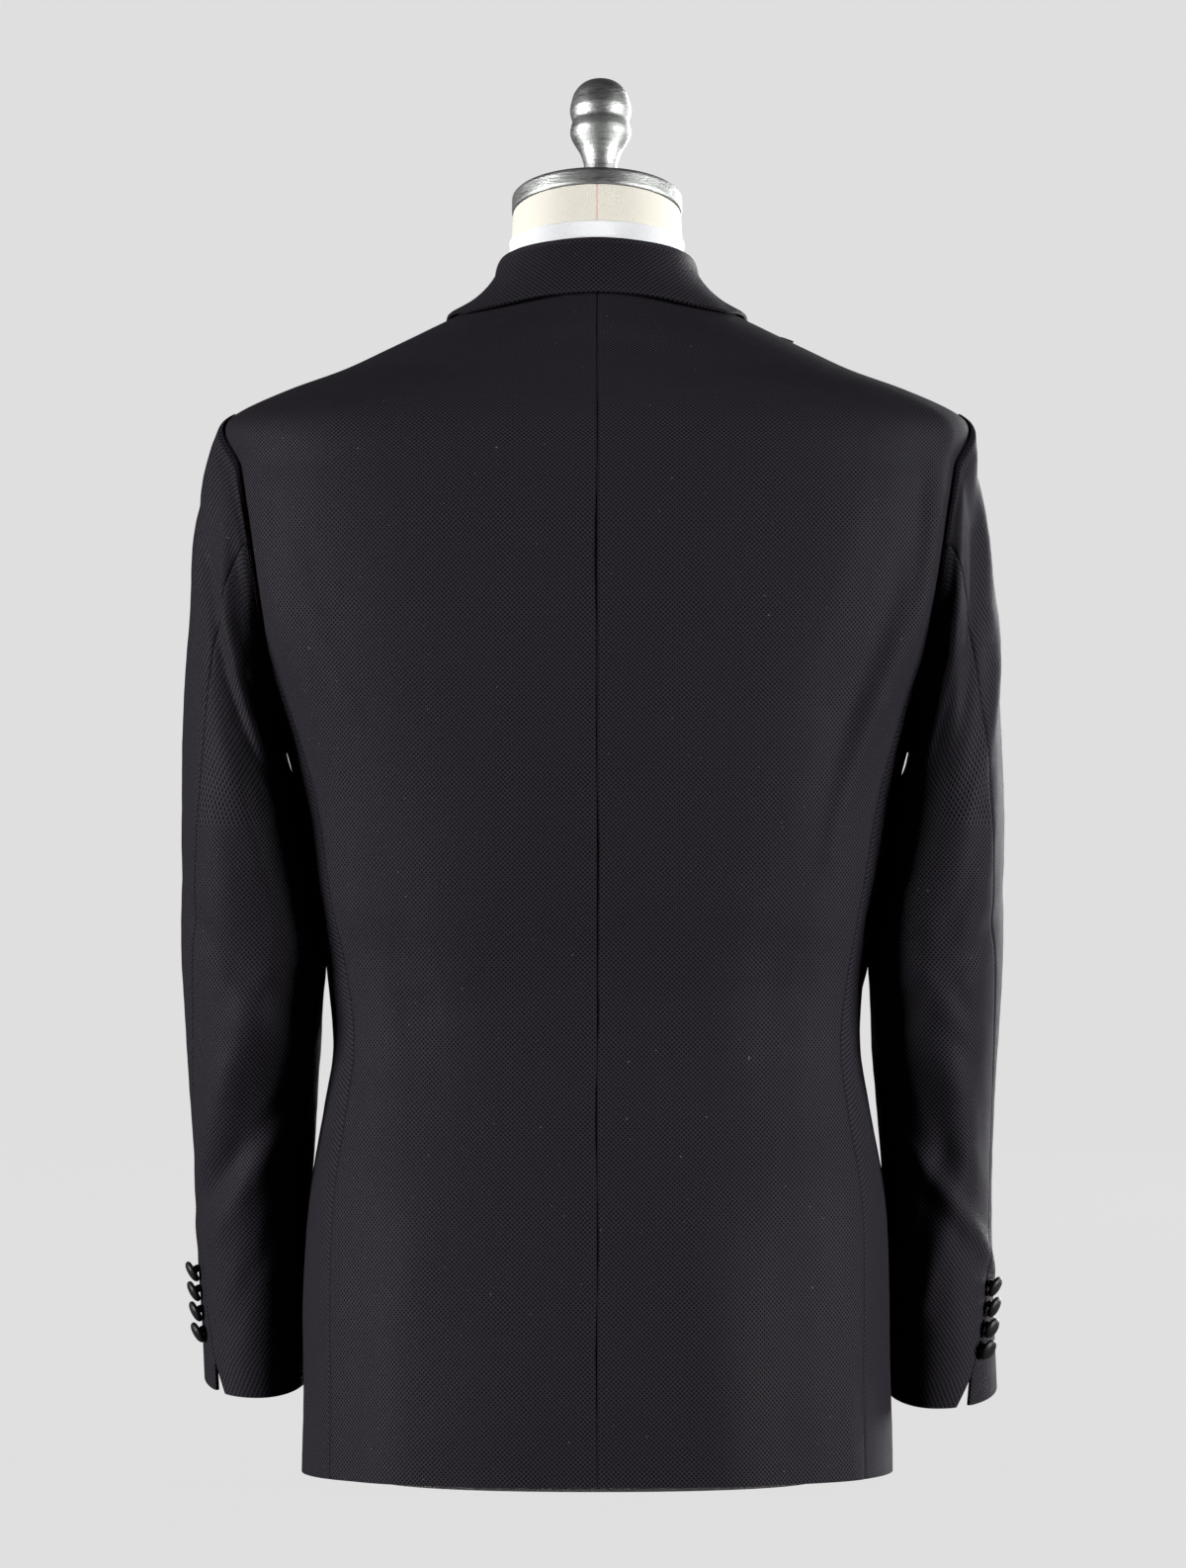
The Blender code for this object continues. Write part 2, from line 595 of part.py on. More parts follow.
SLEEVE_RINGS_UP = SLEEVE_RINGS[::-1]


def sleeve_folds(side, round_deg, along):
    """Height of the soft folds of a sleeve."""
    height = np.zeros(np.broadcast(round_deg, along).shape)
    for fold_side, at_angle, at_along, width, length, slant, depth in SLEEVE_FOLDS:
        if fold_side != side:
            continue
        turn = np.mod(round_deg - at_angle - slant * (along - at_along) / length + 180.0, 360.0) - 180.0
        height = height + depth * np.exp(-(turn / width) ** 2 - ((along - at_along) / length) ** 2)
    return height


def sleeve_cap(side, round_deg, t):
    """Cap of the sleeve: cubic from the armhole (t = 0) to the biceps ring (t = 1)."""
    start, normal = sleeve_start(side, round_deg)
    start = start + normal * 0.0012
    end = sleeve_ring(side, round_deg, np.full_like(round_deg, BICEPS_Z))
    reach = np.linalg.norm(end - start, axis=-1, keepdims=True)
    crown = np.clip(np.cos(np.radians(round_deg)), 0.0, 1.0)[..., None] ** 1.5
    armpit = np.clip(-np.cos(np.radians(round_deg)), 0.0, 1.0)[..., None]
    out = np.array((side * 0.89, 0.0, -0.45)) * 0.080 * crown
    leave = out + normal * (0.030 * (1.0 - crown) - 0.012 * armpit)
    leave = leave + np.array((0.0, 0.0, -0.020)) * (1.0 - crown) * (1.0 - armpit)
    arrive = np.array((0.0, 0.0, -1.0)) * reach
    t = t[..., None]
    return (
        start * (1.0 + 2.0 * t) * (1.0 - t) ** 2 + end * t * t * (3.0 - 2.0 * t)
        + leave * t * (1.0 - t) ** 2 - arrive * t * t * (1.0 - t)
    )


def sleeve_surface(side, round_deg, along):
    """Outer face of a sleeve: along is under 0 in the armhole, 1 at the biceps, 2 at the cuff."""
    round_deg, along = np.broadcast_arrays(round_deg, along)
    inside = sleeve_start(side, round_deg)[0] - sleeve_start(side, round_deg)[1] * 0.0020
    cap = sleeve_cap(side, round_deg, np.clip(along, 0.0, 1.0))
    z = BICEPS_Z + (CUFF_Z - BICEPS_Z) * np.clip(along - 1.0, 0.0, 1.0)
    tube = sleeve_ring(side, round_deg, z)
    share = np.clip(-along / 0.012, 0.0, 1.0)[..., None]
    points = np.where(along[..., None] <= 1.0, cap, tube)
    turn = np.radians(round_deg)
    outward = np.stack((side * np.cos(turn), np.sin(turn), 0.0 * turn), axis=-1)
    fade = np.clip(along / 0.25, 0.0, 1.0) * np.clip((2.0 - along) / 0.1, 0.0, 1.0)
    points = points + outward * (sleeve_folds(side, round_deg, along) * fade)[..., None]
    points[..., 0] += side * column(HANG, 1 if side > 0 else 2)(along) * np.clip(np.cos(turn), 0.0, 1.0)
    points[..., 2] += column(HANG, 3 if side > 0 else 4)(along)
    return points * (1.0 - share) + inside * share


def sleeve_normal(side, round_deg, along):
    """Outward normal of a sleeve."""
    surface = lambda a, v: sleeve_surface(side, a, v)
    return surface_normal(surface, round_deg, along, 1.0, 0.004) * -side


def vent_spread(along):
    """Opening of the cuff vent in degrees each side of the hind seam."""
    top = (BICEPS_Z - VENT_TOP_Z) / (BICEPS_Z - CUFF_Z) + 1.0
    return np.degrees(VENT_SPREAD) * np.clip((along - top) / (2.0 - top), 0.0, 1.0)


def hind_seam(side, along):
    """Angle of the hind seam, with the cuff's own twist added over the forearm."""
    forearm = np.clip((along - 1.4) / 0.6, 0.0, 1.0)
    return column(SLEEVE_SEAMS, 1)(along) + CUFF_TWIST[side] * forearm * forearm


def top_sleeve_turn(side, along, share):
    """Angle of the top sleeve at a share of the way from fore seam to hind seam."""
    fore = column(SLEEVE_SEAMS, 2)(along)
    hind = hind_seam(side, along) - vent_spread(along)
    return fore + share * (hind - fore)


def under_sleeve_turn(side, along, share):
    """Angle of the under sleeve at a share of the way from hind seam to fore seam."""
    fore = column(SLEEVE_SEAMS, 2)(along) + 360.0
    hind = hind_seam(side, along) + vent_spread(along)
    return hind + share * (fore - hind)


def build_sleeve_panel(side, name, turn_at, columns):
    """One panel of a sleeve between its two seams."""
    along = SLEEVE_ROWS[:, None]
    turn = turn_at(side, along, np.linspace(0.0, 1.0, columns))
    along = along + 0.0 * turn
    points = sleeve_surface(side, turn, along)
    gap = SEAM * (1.0 + 3.2 * np.exp(-((along[:, :1] - 0.25) / 0.30) ** 2))
    return add_shell(name, "black_cloth", points, sleeve_normal(side, turn, along), gap=gap)


def guide(line, along):
    """Point on one of the collar's guide lines; along is signed, wearer's left is positive."""
    place = np.abs(along)
    x = smooth(place, line[:, 0], line[:, 1]) * np.sign(along)
    y = smooth(place, line[:, 0], line[:, 2])
    z = smooth(place, line[:, 0], line[:, 3])
    return np.stack((x, y, z), axis=-1)


def shoulder_height(x, y):
    """Height of the shoulder's outer face above (x, y), found by halving."""
    low, high = np.full_like(x, 0.600), np.full_like(x, 0.716)
    for _ in range(26):
        middle = 0.5 * (low + high)
        depth = np.where(y >= 0.0, column(RINGS, 2)(middle), column(RINGS, 3)(middle))
        power = column(RINGS, 4)(middle)
        inside = (np.abs(x) / column(RINGS, 1)(middle)) ** power + (np.abs(y) / depth) ** power < 1.0
        low, high = np.where(inside, middle, low), np.where(inside, high, middle)
    return low


def lift_clear(points, lift):
    """Push points along the shoulder's normal until they stand at least lift above it."""
    step = 0.0008
    for _ in range(3):
        x, y, z = points[..., 0], points[..., 1], points[..., 2]
        height = shoulder_height(x, y)
        slope_x = (shoulder_height(x + step, y) - shoulder_height(x - step, y)) / (2.0 * step)
        slope_y = (shoulder_height(x, y + step) - shoulder_height(x, y - step)) / (2.0 * step)
        normal = np.stack((-slope_x, -slope_y, np.ones_like(x)), axis=-1)
        length = np.linalg.norm(normal, axis=-1)
        short = np.clip(lift - (z - height) / length, 0.0, 0.02)
        points = points + normal / length[..., None] * short[..., None]
    return points


def collar_surface(across, along):
    """Visible face of the collar: across 0 is the fall's edge, 1 the roll, 2 the stand's foot."""
    across, along = np.broadcast_arrays(across, along)
    front = np.abs(along)[..., None] > 0.5
    edge = guide(FALL_EDGE, along)
    roll = guide(ROLL_LINE, along)
    roll = np.where(front, lift_clear(roll, COLLAR_LIFT), roll)
    foot = guide(STAND_FOOT, along)
    t = np.clip(across, 0.0, 1.0)[..., None]
    s = np.clip(across - 1.0, 0.0, 1.0)[..., None]
    side = roll - foot
    swell = 0.14 - 0.30 * np.clip(np.abs(along) / 0.6, 0.0, 1.0)[..., None]
    bulge = (edge - foot) * np.array((1.0, 1.0, 0.0)) * swell
    fall = edge + (roll - edge) * t + bulge * 4.0 * t * (1.0 - t)
    fall = np.where(front, lift_clear(fall, COLLAR_LIFT), fall)
    stand = roll - side * s
    return np.where(across[..., None] <= 1.0, fall, stand)


def build_collar():
    """Folded collar, from gorge to gorge round the neck."""
    across = np.array((0.0, 0.30, 0.62, 0.84, 0.95, 1.05, 1.18, 1.55, 2.0))[None, :]
    along = np.linspace(-1.0, 1.0, 25)[:, None]
    points = collar_surface(across, along)
    normals = surface_normal(collar_surface, across + 0.0 * along, along + 0.0 * across, 0.03, 0.01)
    middle = points[12, 2] + normals[12, 2]
    if middle[1] < points[12, 2][1]:
        normals = -normals
    return add_shell("collar", "black_cloth", points, normals, 0.0018)


def chart(line, t):
    """Point of a flat outline at share t of its points."""
    steps = np.linspace(0.0, 1.0, len(line))
    return np.stack((smooth(t, steps, line[:, 0]), smooth(t, steps, line[:, 1])), axis=-1)


def lapel_flat(side, across, along):
    """Flat lapel outline filled between roll line, outer edge and gorge (x, z)."""
    left = chart(LAPEL_ROLL, along)
    right = chart(LAPEL_EDGE[side], along)
    top = chart(LAPEL_TOP[side], across)
    a = across[..., None]
    b = along[..., None]
    sides = left * (1.0 - a) + right * a
    corner = LAPEL_ROLL[-1] * (1.0 - a) + LAPEL_EDGE[side][-1] * a
    return sides + (top - corner) * b ** 6


def build_lapel(side, name):
    """Satin lapel laid on the front, from the button to the gorge."""
    across = np.concatenate((np.linspace(0.0, 0.75, 5), (0.88, 1.0)))[None, :]
    along = np.concatenate((np.linspace(0.0, 0.84, 12), (0.88, 0.92, 0.96, 1.0)))[:, None]
    flat = lapel_flat(side, across + 0.0 * along, along + 0.0 * across)
    point = across ** 2 * along ** 5 * (side < 0)
    angle = front_angle_at_x(flat[..., 0], flat[..., 1])
    lift = front_lap(side, angle) + FACING_WALL + 4.5 * SEAM + 0.0025 * np.sin(np.pi * across) * along
    lift = lift + 0.0014 * across ** 2 * along ** 8 + RIGHT_POINT_LIFT * point
    points = body_at(side, angle, flat[..., 1], lift)
    return add_shell(name, "black_satin", points, body_normal(side, angle, flat[..., 1]), FACING_WALL)


def button_profile(radius):
    """Domed covered button, foot first."""
    return (
        (0.34 * radius, 0.0), (0.34 * radius, 0.0012), (0.90 * radius, 0.0016), (radius, 0.0028),
        (0.86 * radius, 0.0042), (0.50 * radius, 0.0053),
    )


def add_button(name, centre, normal, radius, shank=0.0, tilt=0.0):
    """Covered button: the foot lies on the cloth, the dome leans downwards by the tilt."""
    profile = np.array(button_profile(radius))
    profile[1:, 1] += shank
    turn = np.arange(12) * 2.0 * np.pi / 12
    normal = normal / np.linalg.norm(normal)
    first = np.cross(normal, (0.0, 0.0, 1.0))
    first /= np.linalg.norm(first)
    second = np.cross(normal, first)
    circle = first * np.cos(turn)[:, None] + second * np.sin(turn)[:, None]
    axis = normal * np.cos(tilt) + second * np.sin(tilt)
    leaning = first * np.cos(turn)[:, None] + np.cross(axis, first) * np.sin(turn)[:, None]
    rings = profile[:, 0][:, None, None] * leaning + profile[:, 1][:, None, None] * axis
    rings[0] = profile[0, 0] * circle
    ends = np.stack((normal * profile[0, 1], axis * profile[-1, 1]))
    vertices = np.concatenate((rings.reshape(-1, 3), ends)) + centre
    faces = np.array([face if len(face) == 4 else (*face, face[2]) for face in turned_faces(len(profile), 12)])
    flip = signed_volume(vertices, faces) < 0.0
    faces = [face[::-1] if flip else face for face in turned_faces(len(profile), 12)]
    return add_piece(name, "black_satin", vertices, faces)


def build_cuff_buttons(side, name):
    """Row of buttons beside the vent, standing on the top sleeve's last strip."""
    last = 1.0 - 1.0 / (TOP_SLEEVE_COLUMNS - 1)
    share = last + CUFF_BUTTON_INSET[side] * (1.0 - last)
    lines = [sleeve_surface(side, top_sleeve_turn(side, SLEEVE_ROWS, at), SLEEVE_ROWS) for at in (last, 1.0)]
    points = lines[0] + CUFF_BUTTON_INSET[side] * (lines[1] - lines[0])
    for number in range(CUFF_BUTTON_COUNT):
        z = CUFF_BUTTON_TOP_Z - number * CUFF_BUTTON_PITCH
        along = np.array((1.0 + (BICEPS_Z - z) / (BICEPS_Z - CUFF_Z),))
        normal = sleeve_normal(side, top_sleeve_turn(side, along, share), along)[0]
        point = np.array([np.interp(along[0], SLEEVE_ROWS, points[:, axis]) for axis in range(3)])
        foot = point + normal * 2.0 * SEAM
        add_button(f"{name}_{number + 1}", foot, normal, CUFF_BUTTON_RADIUS, CUFF_BUTTON_SHANK, CUFF_BUTTON_TILT)


def build_front_button():
    """Covered button at the waist, over the left front."""
    angle = np.array((np.pi,))
    z = np.array((FRONT_BUTTON_Z,))
    normal = body_normal(1, angle, z)[0]
    point = body_at(1, angle, z, FRONT_LAP + SEAM)[0]
    return add_button("front_button", point, normal, FRONT_BUTTON_RADIUS)


def build_form():
    """Torso of the dress form with its neck, smooth and limbless."""
    levels = np.array((
        0.0, 0.004, 0.014, 0.030, 0.075, 0.118, 0.178, 0.225, 0.262, 0.310, 0.354, 0.422, 0.470, 0.517,
        0.571, 0.612, 0.634, 0.6435, 0.6582, 0.6702, 0.6822, 0.6942, 0.705, 0.712, 0.722,
        BAND_TOP_Z - SEAM))
    angle = np.linspace(0.0, 2.0 * np.pi, 33)[:-1][None, :]
    rings = ring_point(FORM_RINGS, angle, levels[:, None] + 0.0 * angle)
    rings[-1, :, 2] += np.tan(BAND_TILT) * rings[-1, :, 1]
    ends = np.array(((0.0, 0.0, levels[0]), (0.0, 0.0, levels[-1])))
    vertices = np.concatenate((rings.reshape(-1, 3), ends))
    faces = [face[::-1] for face in turned_faces(len(levels), 32)]
    return add_piece("form_torso", "white_jersey", vertices, faces)


def build_neck():
    """Linen-covered neck between the white cover and the cap; its top leans with the cap."""
    turn = np.arange(32) * 2.0 * np.pi / 32
    top = CAP_CENTRE[2] - 0.0065
    rings = []
    for radius, level, lean in ((NECK_RADIUS, BAND_TOP_Z, BAND_TILT), (NECK_RADIUS - 0.0010, top, CAP_TILT)):
        y = radius * np.cos(turn)
        rings.append(np.stack((radius * np.sin(turn), y, level + np.tan(lean) * y), axis=-1))
    low, high = rings
    ends = np.array(((0.0, 0.0, BAND_TOP_Z), (0.0, 0.0, top)))
    vertices = np.concatenate((low, high, ends))
    return add_piece("form_neck", "cream_linen", vertices, [face[::-1] for face in turned_faces(2, 32)])


def build_cap():
    """Cap plate and turned knob, both tipped forwards."""
    add_turned("neck_cap", "cast_aluminium", CAP_PROFILE, CAP_CENTRE, CAP_TILT, 32)
    lift = 0.0088 + SEAM
    axis = np.array((0.0, -np.sin(CAP_TILT), np.cos(CAP_TILT)))
    foot = np.array(CAP_CENTRE) + axis * lift + np.array((KNOB_OFFSET, 0.0, 0.0))
    add_turned("finial_knob", "cast_aluminium", KNOB_PROFILE, foot, CAP_TILT, 20)


def build_all():
    """Every piece of the jacket and its form."""
    for piece in list(bpy.data.objects):
        bpy.data.objects.remove(piece, do_unlink=True)
    build_form()
    build_neck()
    build_cap()
    for side, word in ((1, "left"), (-1, "right")):
        build_back(side, f"back_{word}")
        build_side(side, f"side_{word}")
        build_front(side, f"front_{word}")
        build_sleeve_panel(side, f"top_sleeve_{word}", top_sleeve_turn, TOP_SLEEVE_COLUMNS)
        build_sleeve_panel(side, f"under_sleeve_{word}", under_sleeve_turn, UNDER_SLEEVE_COLUMNS)
        build_lapel(side, f"lapel_{word}")
        build_cuff_buttons(side, f"cuff_button_{word}")
    build_collar()
    build_front_button()


build_all()
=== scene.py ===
import json

import bpy
import numpy as np
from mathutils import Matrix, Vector

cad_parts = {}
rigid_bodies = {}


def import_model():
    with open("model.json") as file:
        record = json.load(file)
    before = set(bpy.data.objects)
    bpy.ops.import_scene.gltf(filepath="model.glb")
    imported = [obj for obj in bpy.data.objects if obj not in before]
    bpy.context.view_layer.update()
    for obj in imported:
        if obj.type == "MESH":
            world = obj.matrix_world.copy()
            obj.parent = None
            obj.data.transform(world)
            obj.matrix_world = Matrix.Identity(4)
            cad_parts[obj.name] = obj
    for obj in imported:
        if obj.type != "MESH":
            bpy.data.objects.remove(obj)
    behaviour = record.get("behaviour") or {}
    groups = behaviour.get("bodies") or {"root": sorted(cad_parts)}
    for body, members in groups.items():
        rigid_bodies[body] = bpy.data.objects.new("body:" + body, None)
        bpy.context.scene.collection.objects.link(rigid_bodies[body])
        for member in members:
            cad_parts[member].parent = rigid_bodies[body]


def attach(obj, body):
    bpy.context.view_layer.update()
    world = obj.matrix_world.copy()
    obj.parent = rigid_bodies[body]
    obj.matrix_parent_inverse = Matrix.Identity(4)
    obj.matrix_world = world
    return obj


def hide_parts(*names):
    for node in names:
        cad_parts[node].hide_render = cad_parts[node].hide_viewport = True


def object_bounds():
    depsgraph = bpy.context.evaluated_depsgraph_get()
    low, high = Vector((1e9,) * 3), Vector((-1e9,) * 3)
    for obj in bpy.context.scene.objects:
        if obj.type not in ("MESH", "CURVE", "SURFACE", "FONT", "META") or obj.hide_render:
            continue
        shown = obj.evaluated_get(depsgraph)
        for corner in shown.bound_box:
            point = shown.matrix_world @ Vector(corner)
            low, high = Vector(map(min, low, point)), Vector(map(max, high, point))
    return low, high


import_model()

# %% [markdown]
# A tuxedo jacket on a limbless dress form, seen from behind. The solids of the CAD model carry
# the shape. Here every piece gets its finished surface: fine cloth shells with creases, a small
# woven lattice, satin, linen, knitted cotton and cast metal. The size of the CAD box is kept
# first, because the finished object has to stay inside it.

# %% Keep the CAD box and set the level of detail
cad_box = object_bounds()
SHIFT = np.array((-0.0024, 0.0023, 0.0))     # the object is centred on the origin
WALL = 0.0020                                # cloth with its interlining
FACING = 0.0010                              # satin facing
SEAM = 0.0003
FINE = 1.0            # share of the full mesh rows and columns
SIDES = ((1, "left"), (-1, "right"))         # the wearer's sides; x grows towards the left


def fine(count):
    """Number of rows or columns at the wanted detail."""
    return max(6, int(count * FINE))


print("CAD box:", [tuple(round(c, 4) for c in corner) for corner in cad_box])

# %% [markdown]
# The body of the jacket is a stack of rings. Each row of the table is one level: the half width,
# how far the back and the front stand from the middle, and how square the ring is. A jacket
# could also be sculpted, but a table keeps the cut measurable, and every panel, crease and
# lapel can be placed on the same surface.

# %% The rings of the body and the lines that cut it into panels
# columns: height, half_width, back_depth, front_depth, fullness
RINGS = np.array((
    (0.006, 0.1790, 0.1350, 0.1330, 2.30), (0.058, 0.1780, 0.1345, 0.1330, 2.30),
    (0.118, 0.1776, 0.1302, 0.1320, 2.30), (0.178, 0.1740, 0.1198, 0.1280, 2.30),
    (0.226, 0.1655, 0.1056, 0.1210, 2.30), (0.262, 0.1600, 0.0990, 0.1170, 2.30),
    (0.316, 0.1650, 0.1000, 0.1190, 2.30), (0.354, 0.1720, 0.1060, 0.1230, 2.35),
    (0.422, 0.1830, 0.1140, 0.1300, 2.40), (0.463, 0.1947, 0.1170, 0.1320, 2.40),
    (0.517, 0.2129, 0.1170, 0.1310, 2.40), (0.571, 0.2215, 0.1145, 0.1270, 2.40),
    (0.612, 0.2228, 0.1085, 0.1190, 2.35), (0.646, 0.2190, 0.1010, 0.1080, 2.30),
    (0.661, 0.1870, 0.0960, 0.0990, 2.20), (0.673, 0.1540, 0.0910, 0.0910, 2.10),
    (0.685, 0.1280, 0.0860, 0.0830, 2.10), (0.697, 0.1030, 0.0805, 0.0750, 2.05),
    (0.709, 0.0790, 0.0735, 0.0670, 2.00), (0.716, 0.0670, 0.0690, 0.0610, 2.00),
))
# columns: height, back seam and front seam in degrees from the centre back
SIDE_SEAMS = np.array((
    (0.006, 62.0, 99.0), (0.130, 63.0, 100.0), (0.262, 65.0, 103.0),
    (0.380, 67.0, 106.0), (0.500, 70.0, 109.0), (0.720, 70.0, 109.0),
))
# columns: height, distance of the front edge from the centre front
FRONT_EDGE = np.array((
    (0.006, 0.1180), (0.012, 0.0900), (0.030, 0.0600), (0.065, 0.0300), (0.120, 0.0060),
    (0.180, -0.0110), (0.235, -0.0180), (0.275, -0.0180), (0.330, -0.0060), (0.450, 0.0200),
    (0.600, 0.0515), (0.660, 0.0625), (0.690, 0.0670), (0.704, 0.0680), (0.716, 0.0640),
))
HEM, NECKLINE = RINGS[0, 0], RINGS[-1, 0]
ARMHOLE = dict(y=-0.005, z=0.540, rise=0.1065, drop=0.100, back=0.058, front=0.066)
FRONT_LAP = 0.0056                           # the left front lies this far over the right one


def smooth(x, xs, ys):
    """Cubic through the points (xs, ys) whose slope at each point is the central difference."""
    x = np.clip(x, xs[0], xs[-1])
    slopes = np.gradient(ys, xs)
    i = np.clip(np.searchsorted(xs, x, side="right") - 1, 0, len(xs) - 2)
    span = xs[i + 1] - xs[i]
    t = (x - xs[i]) / span
    rise = (1 + 2 * t) * (1 - t) ** 2 * ys[i] + t * t * (3 - 2 * t) * ys[i + 1]
    return rise + span * (t * (1 - t) ** 2 * slopes[i] - t * t * (1 - t) * slopes[i + 1])


def column(table, number):
    """One column of a table as a smooth function of the table's first column."""
    return lambda place: smooth(place, table[:, 0], table[:, number])


def signed_power(value, power):
    """Sign of the value times its size to a power."""
    return np.sign(value) * np.abs(value) ** power


print("Jacket from hem", HEM, "to neckline", NECKLINE)

# %% [markdown]
# Cloth is never even. Broad, shallow swells say how heavy it is, and each crease is a soft trough
# or ridge along a line from one point to another. The depth falls off with the distance from
# that line as a bell curve, so a crease has round ends and no edge.

# %% Creases and swells
def crease(u, v, table):
    """Sum over rows of depth times exp(-(distance to the row's line / width) squared)."""
    height = np.zeros(np.shape(u))
    for u_a, v_a, u_b, v_b, width, depth in table:
        run = np.array((u_b - u_a, v_b - v_a))
        t = np.clip(((u - u_a) * run[0] + (v - v_a) * run[1]) / max(run @ run, 1e-9), 0, 1)
        far = (u - u_a - t * run[0]) ** 2 + (v - v_a - t * run[1]) ** 2
        height = height + depth * np.exp(-far / width ** 2)
    return height


def swell(u, v, size, turns):
    """Five slow sine waves in fixed directions, added; turns shifts their phases."""
    waves = ((31, 17, 0.0), (-23, 29, 1.7), (47, -11, 3.1), (13, 53, 4.4), (-61, -37, 5.2))
    return size * sum(np.sin(a * u + b * v + c + turns) for a, b, c in waves) / len(waves)


def rub(u, v, size, turns):
    """Quick small waves for the handle of pressed cloth."""
    waves = ((210, 95, 0.4), (-170, 240, 2.2), (320, -60, 3.9), (90, 410, 5.5))
    return size * sum(np.sin(a * u + b * v + c + turns) for a, b, c in waves) / len(waves)


# Folds that the solids have too. columns: side, degrees, height, width, length, slant, depth
BODY_FOLDS = (
    (-1, 59.0, 0.520, 5.0, 0.090, 55.0, 0.0060), (-1, 50.0, 0.500, 5.0, 0.080, 60.0, -0.0030),
    (1, 58.0, 0.520, 5.0, 0.080, 40.0, 0.0030), (1, 40.0, 0.300, 9.0, 0.070, 30.0, -0.0020),
    (-1, 38.0, 0.290, 9.0, 0.070, -30.0, -0.0020), (1, 16.0, 0.060, 10.0, 0.080, 0.0, 0.0025),
    (-1, 20.0, 0.070, 10.0, 0.080, 0.0, 0.0022),
)
# Fine creases of the body in metres: round (degrees times METRES_PER_DEGREE), height
METRES_PER_DEGREE = 0.0026
BODY_CREASES = {
    1: (
        (0.150, 0.590, 0.152, 0.500, 0.006, -0.0012), (0.135, 0.560, 0.120, 0.470, 0.010, 0.0009),
        (0.010, 0.300, 0.110, 0.285, 0.012, -0.0010), (0.030, 0.262, 0.150, 0.250, 0.010, -0.0008),
        (0.060, 0.330, 0.160, 0.345, 0.014, 0.0009), (0.000, 0.690, 0.045, 0.684, 0.007, -0.0010),
        (0.050, 0.660, 0.150, 0.630, 0.018, -0.0012), (0.030, 0.170, 0.050, 0.020, 0.020, -0.0012),
        (0.090, 0.150, 0.105, 0.010, 0.022, 0.0013), (0.130, 0.120, 0.140, 0.010, 0.014, -0.0010),
        (0.290, 0.520, 0.330, 0.440, 0.009, -0.0016), (0.300, 0.560, 0.345, 0.500, 0.011, 0.0012),
        (0.300, 0.300, 0.440, 0.272, 0.010, -0.0013), (0.320, 0.245, 0.440, 0.262, 0.009, -0.0011),
        (0.290, 0.200, 0.430, 0.250, 0.012, 0.0010), (0.380, 0.120, 0.400, 0.020, 0.018, 0.0012),
        (0.200, 0.400, 0.240, 0.300, 0.010, -0.0010), (0.190, 0.330, 0.260, 0.250, 0.009, 0.0009),
    ),
    -1: (
        (0.152, 0.600, 0.150, 0.480, 0.007, -0.0016), (0.120, 0.575, 0.105, 0.470, 0.012, -0.0012),
        (0.138, 0.470, 0.128, 0.380, 0.008, 0.0012), (0.010, 0.292, 0.120, 0.300, 0.012, -0.0010),
        (0.020, 0.250, 0.140, 0.262, 0.010, -0.0009), (0.070, 0.345, 0.165, 0.330, 0.014, 0.0008),
        (0.000, 0.688, 0.050, 0.680, 0.007, -0.0009), (0.060, 0.655, 0.150, 0.628, 0.016, -0.0013),
        (0.040, 0.160, 0.060, 0.020, 0.020, 0.0013), (0.095, 0.140, 0.100, 0.010, 0.020, -0.0012),
        (0.140, 0.110, 0.146, 0.010, 0.014, 0.0010), (0.300, 0.510, 0.335, 0.430, 0.010, -0.0015),
        (0.295, 0.570, 0.350, 0.505, 0.011, 0.0011), (0.310, 0.305, 0.445, 0.275, 0.010, -0.0012),
        (0.310, 0.240, 0.440, 0.260, 0.010, -0.0010), (0.380, 0.110, 0.395, 0.020, 0.018, 0.0012),
        (0.200, 0.390, 0.236, 0.310, 0.010, 0.0010), (0.195, 0.340, 0.262, 0.260, 0.009, -0.0009),
    ),
}
print("Creases of the body:", {side: len(rows) for side, rows in BODY_CREASES.items()})

# %% [markdown]
# One function gives the whole outer face of the body. The angle says how far round the wearer a
# point lies, and the height says how far up. The folds are added along the outward direction.

# %% Outer face of the jacket's body
def ring_point(table, angle, z):
    """x is half width times sin to a power, y is depth times cos to the same power."""
    depth = np.where(np.cos(angle) >= 0, column(table, 2)(z), column(table, 3)(z))
    power = 2.0 / column(table, 4)(z)
    x = column(table, 1)(z) * signed_power(np.sin(angle), power)
    return np.stack((x, depth * signed_power(np.cos(angle), power), z + 0 * x), axis=-1)


def body_relief(side, angle, z):
    """Large folds, fine creases, slow swells and pressed unevenness, added together."""
    height = np.zeros(np.shape(angle))
    for fold_side, at_angle, at_z, width, length, slant, depth in BODY_FOLDS:
        if fold_side == side:
            across = (np.degrees(angle) - at_angle - slant * (z - at_z)) / width
            height = height + depth * np.exp(-across ** 2 - ((z - at_z) / length) ** 2)
    u = np.degrees(angle) * METRES_PER_DEGREE
    height = height + crease(u, z, BODY_CREASES[side])
    calm = np.clip((0.700 - z) / 0.05, 0.15, 1.0)
    return height + calm * (swell(u, z, 0.0010, side) + rub(u, z, 0.00012, side))


def outward_of(side, angle):
    """Level direction away from the body's middle line."""
    return np.stack((side * np.sin(angle), np.cos(angle), 0 * angle), axis=-1)


def body_surface(side, angle, z):
    """Ring point moved out by the relief; side is +1 for the wearer's left and -1 for the right."""
    points = ring_point(RINGS, angle, z)
    points = points + outward_of(1, angle) * body_relief(side, angle, z)[..., None]
    return points * np.array((side, 1, 1))


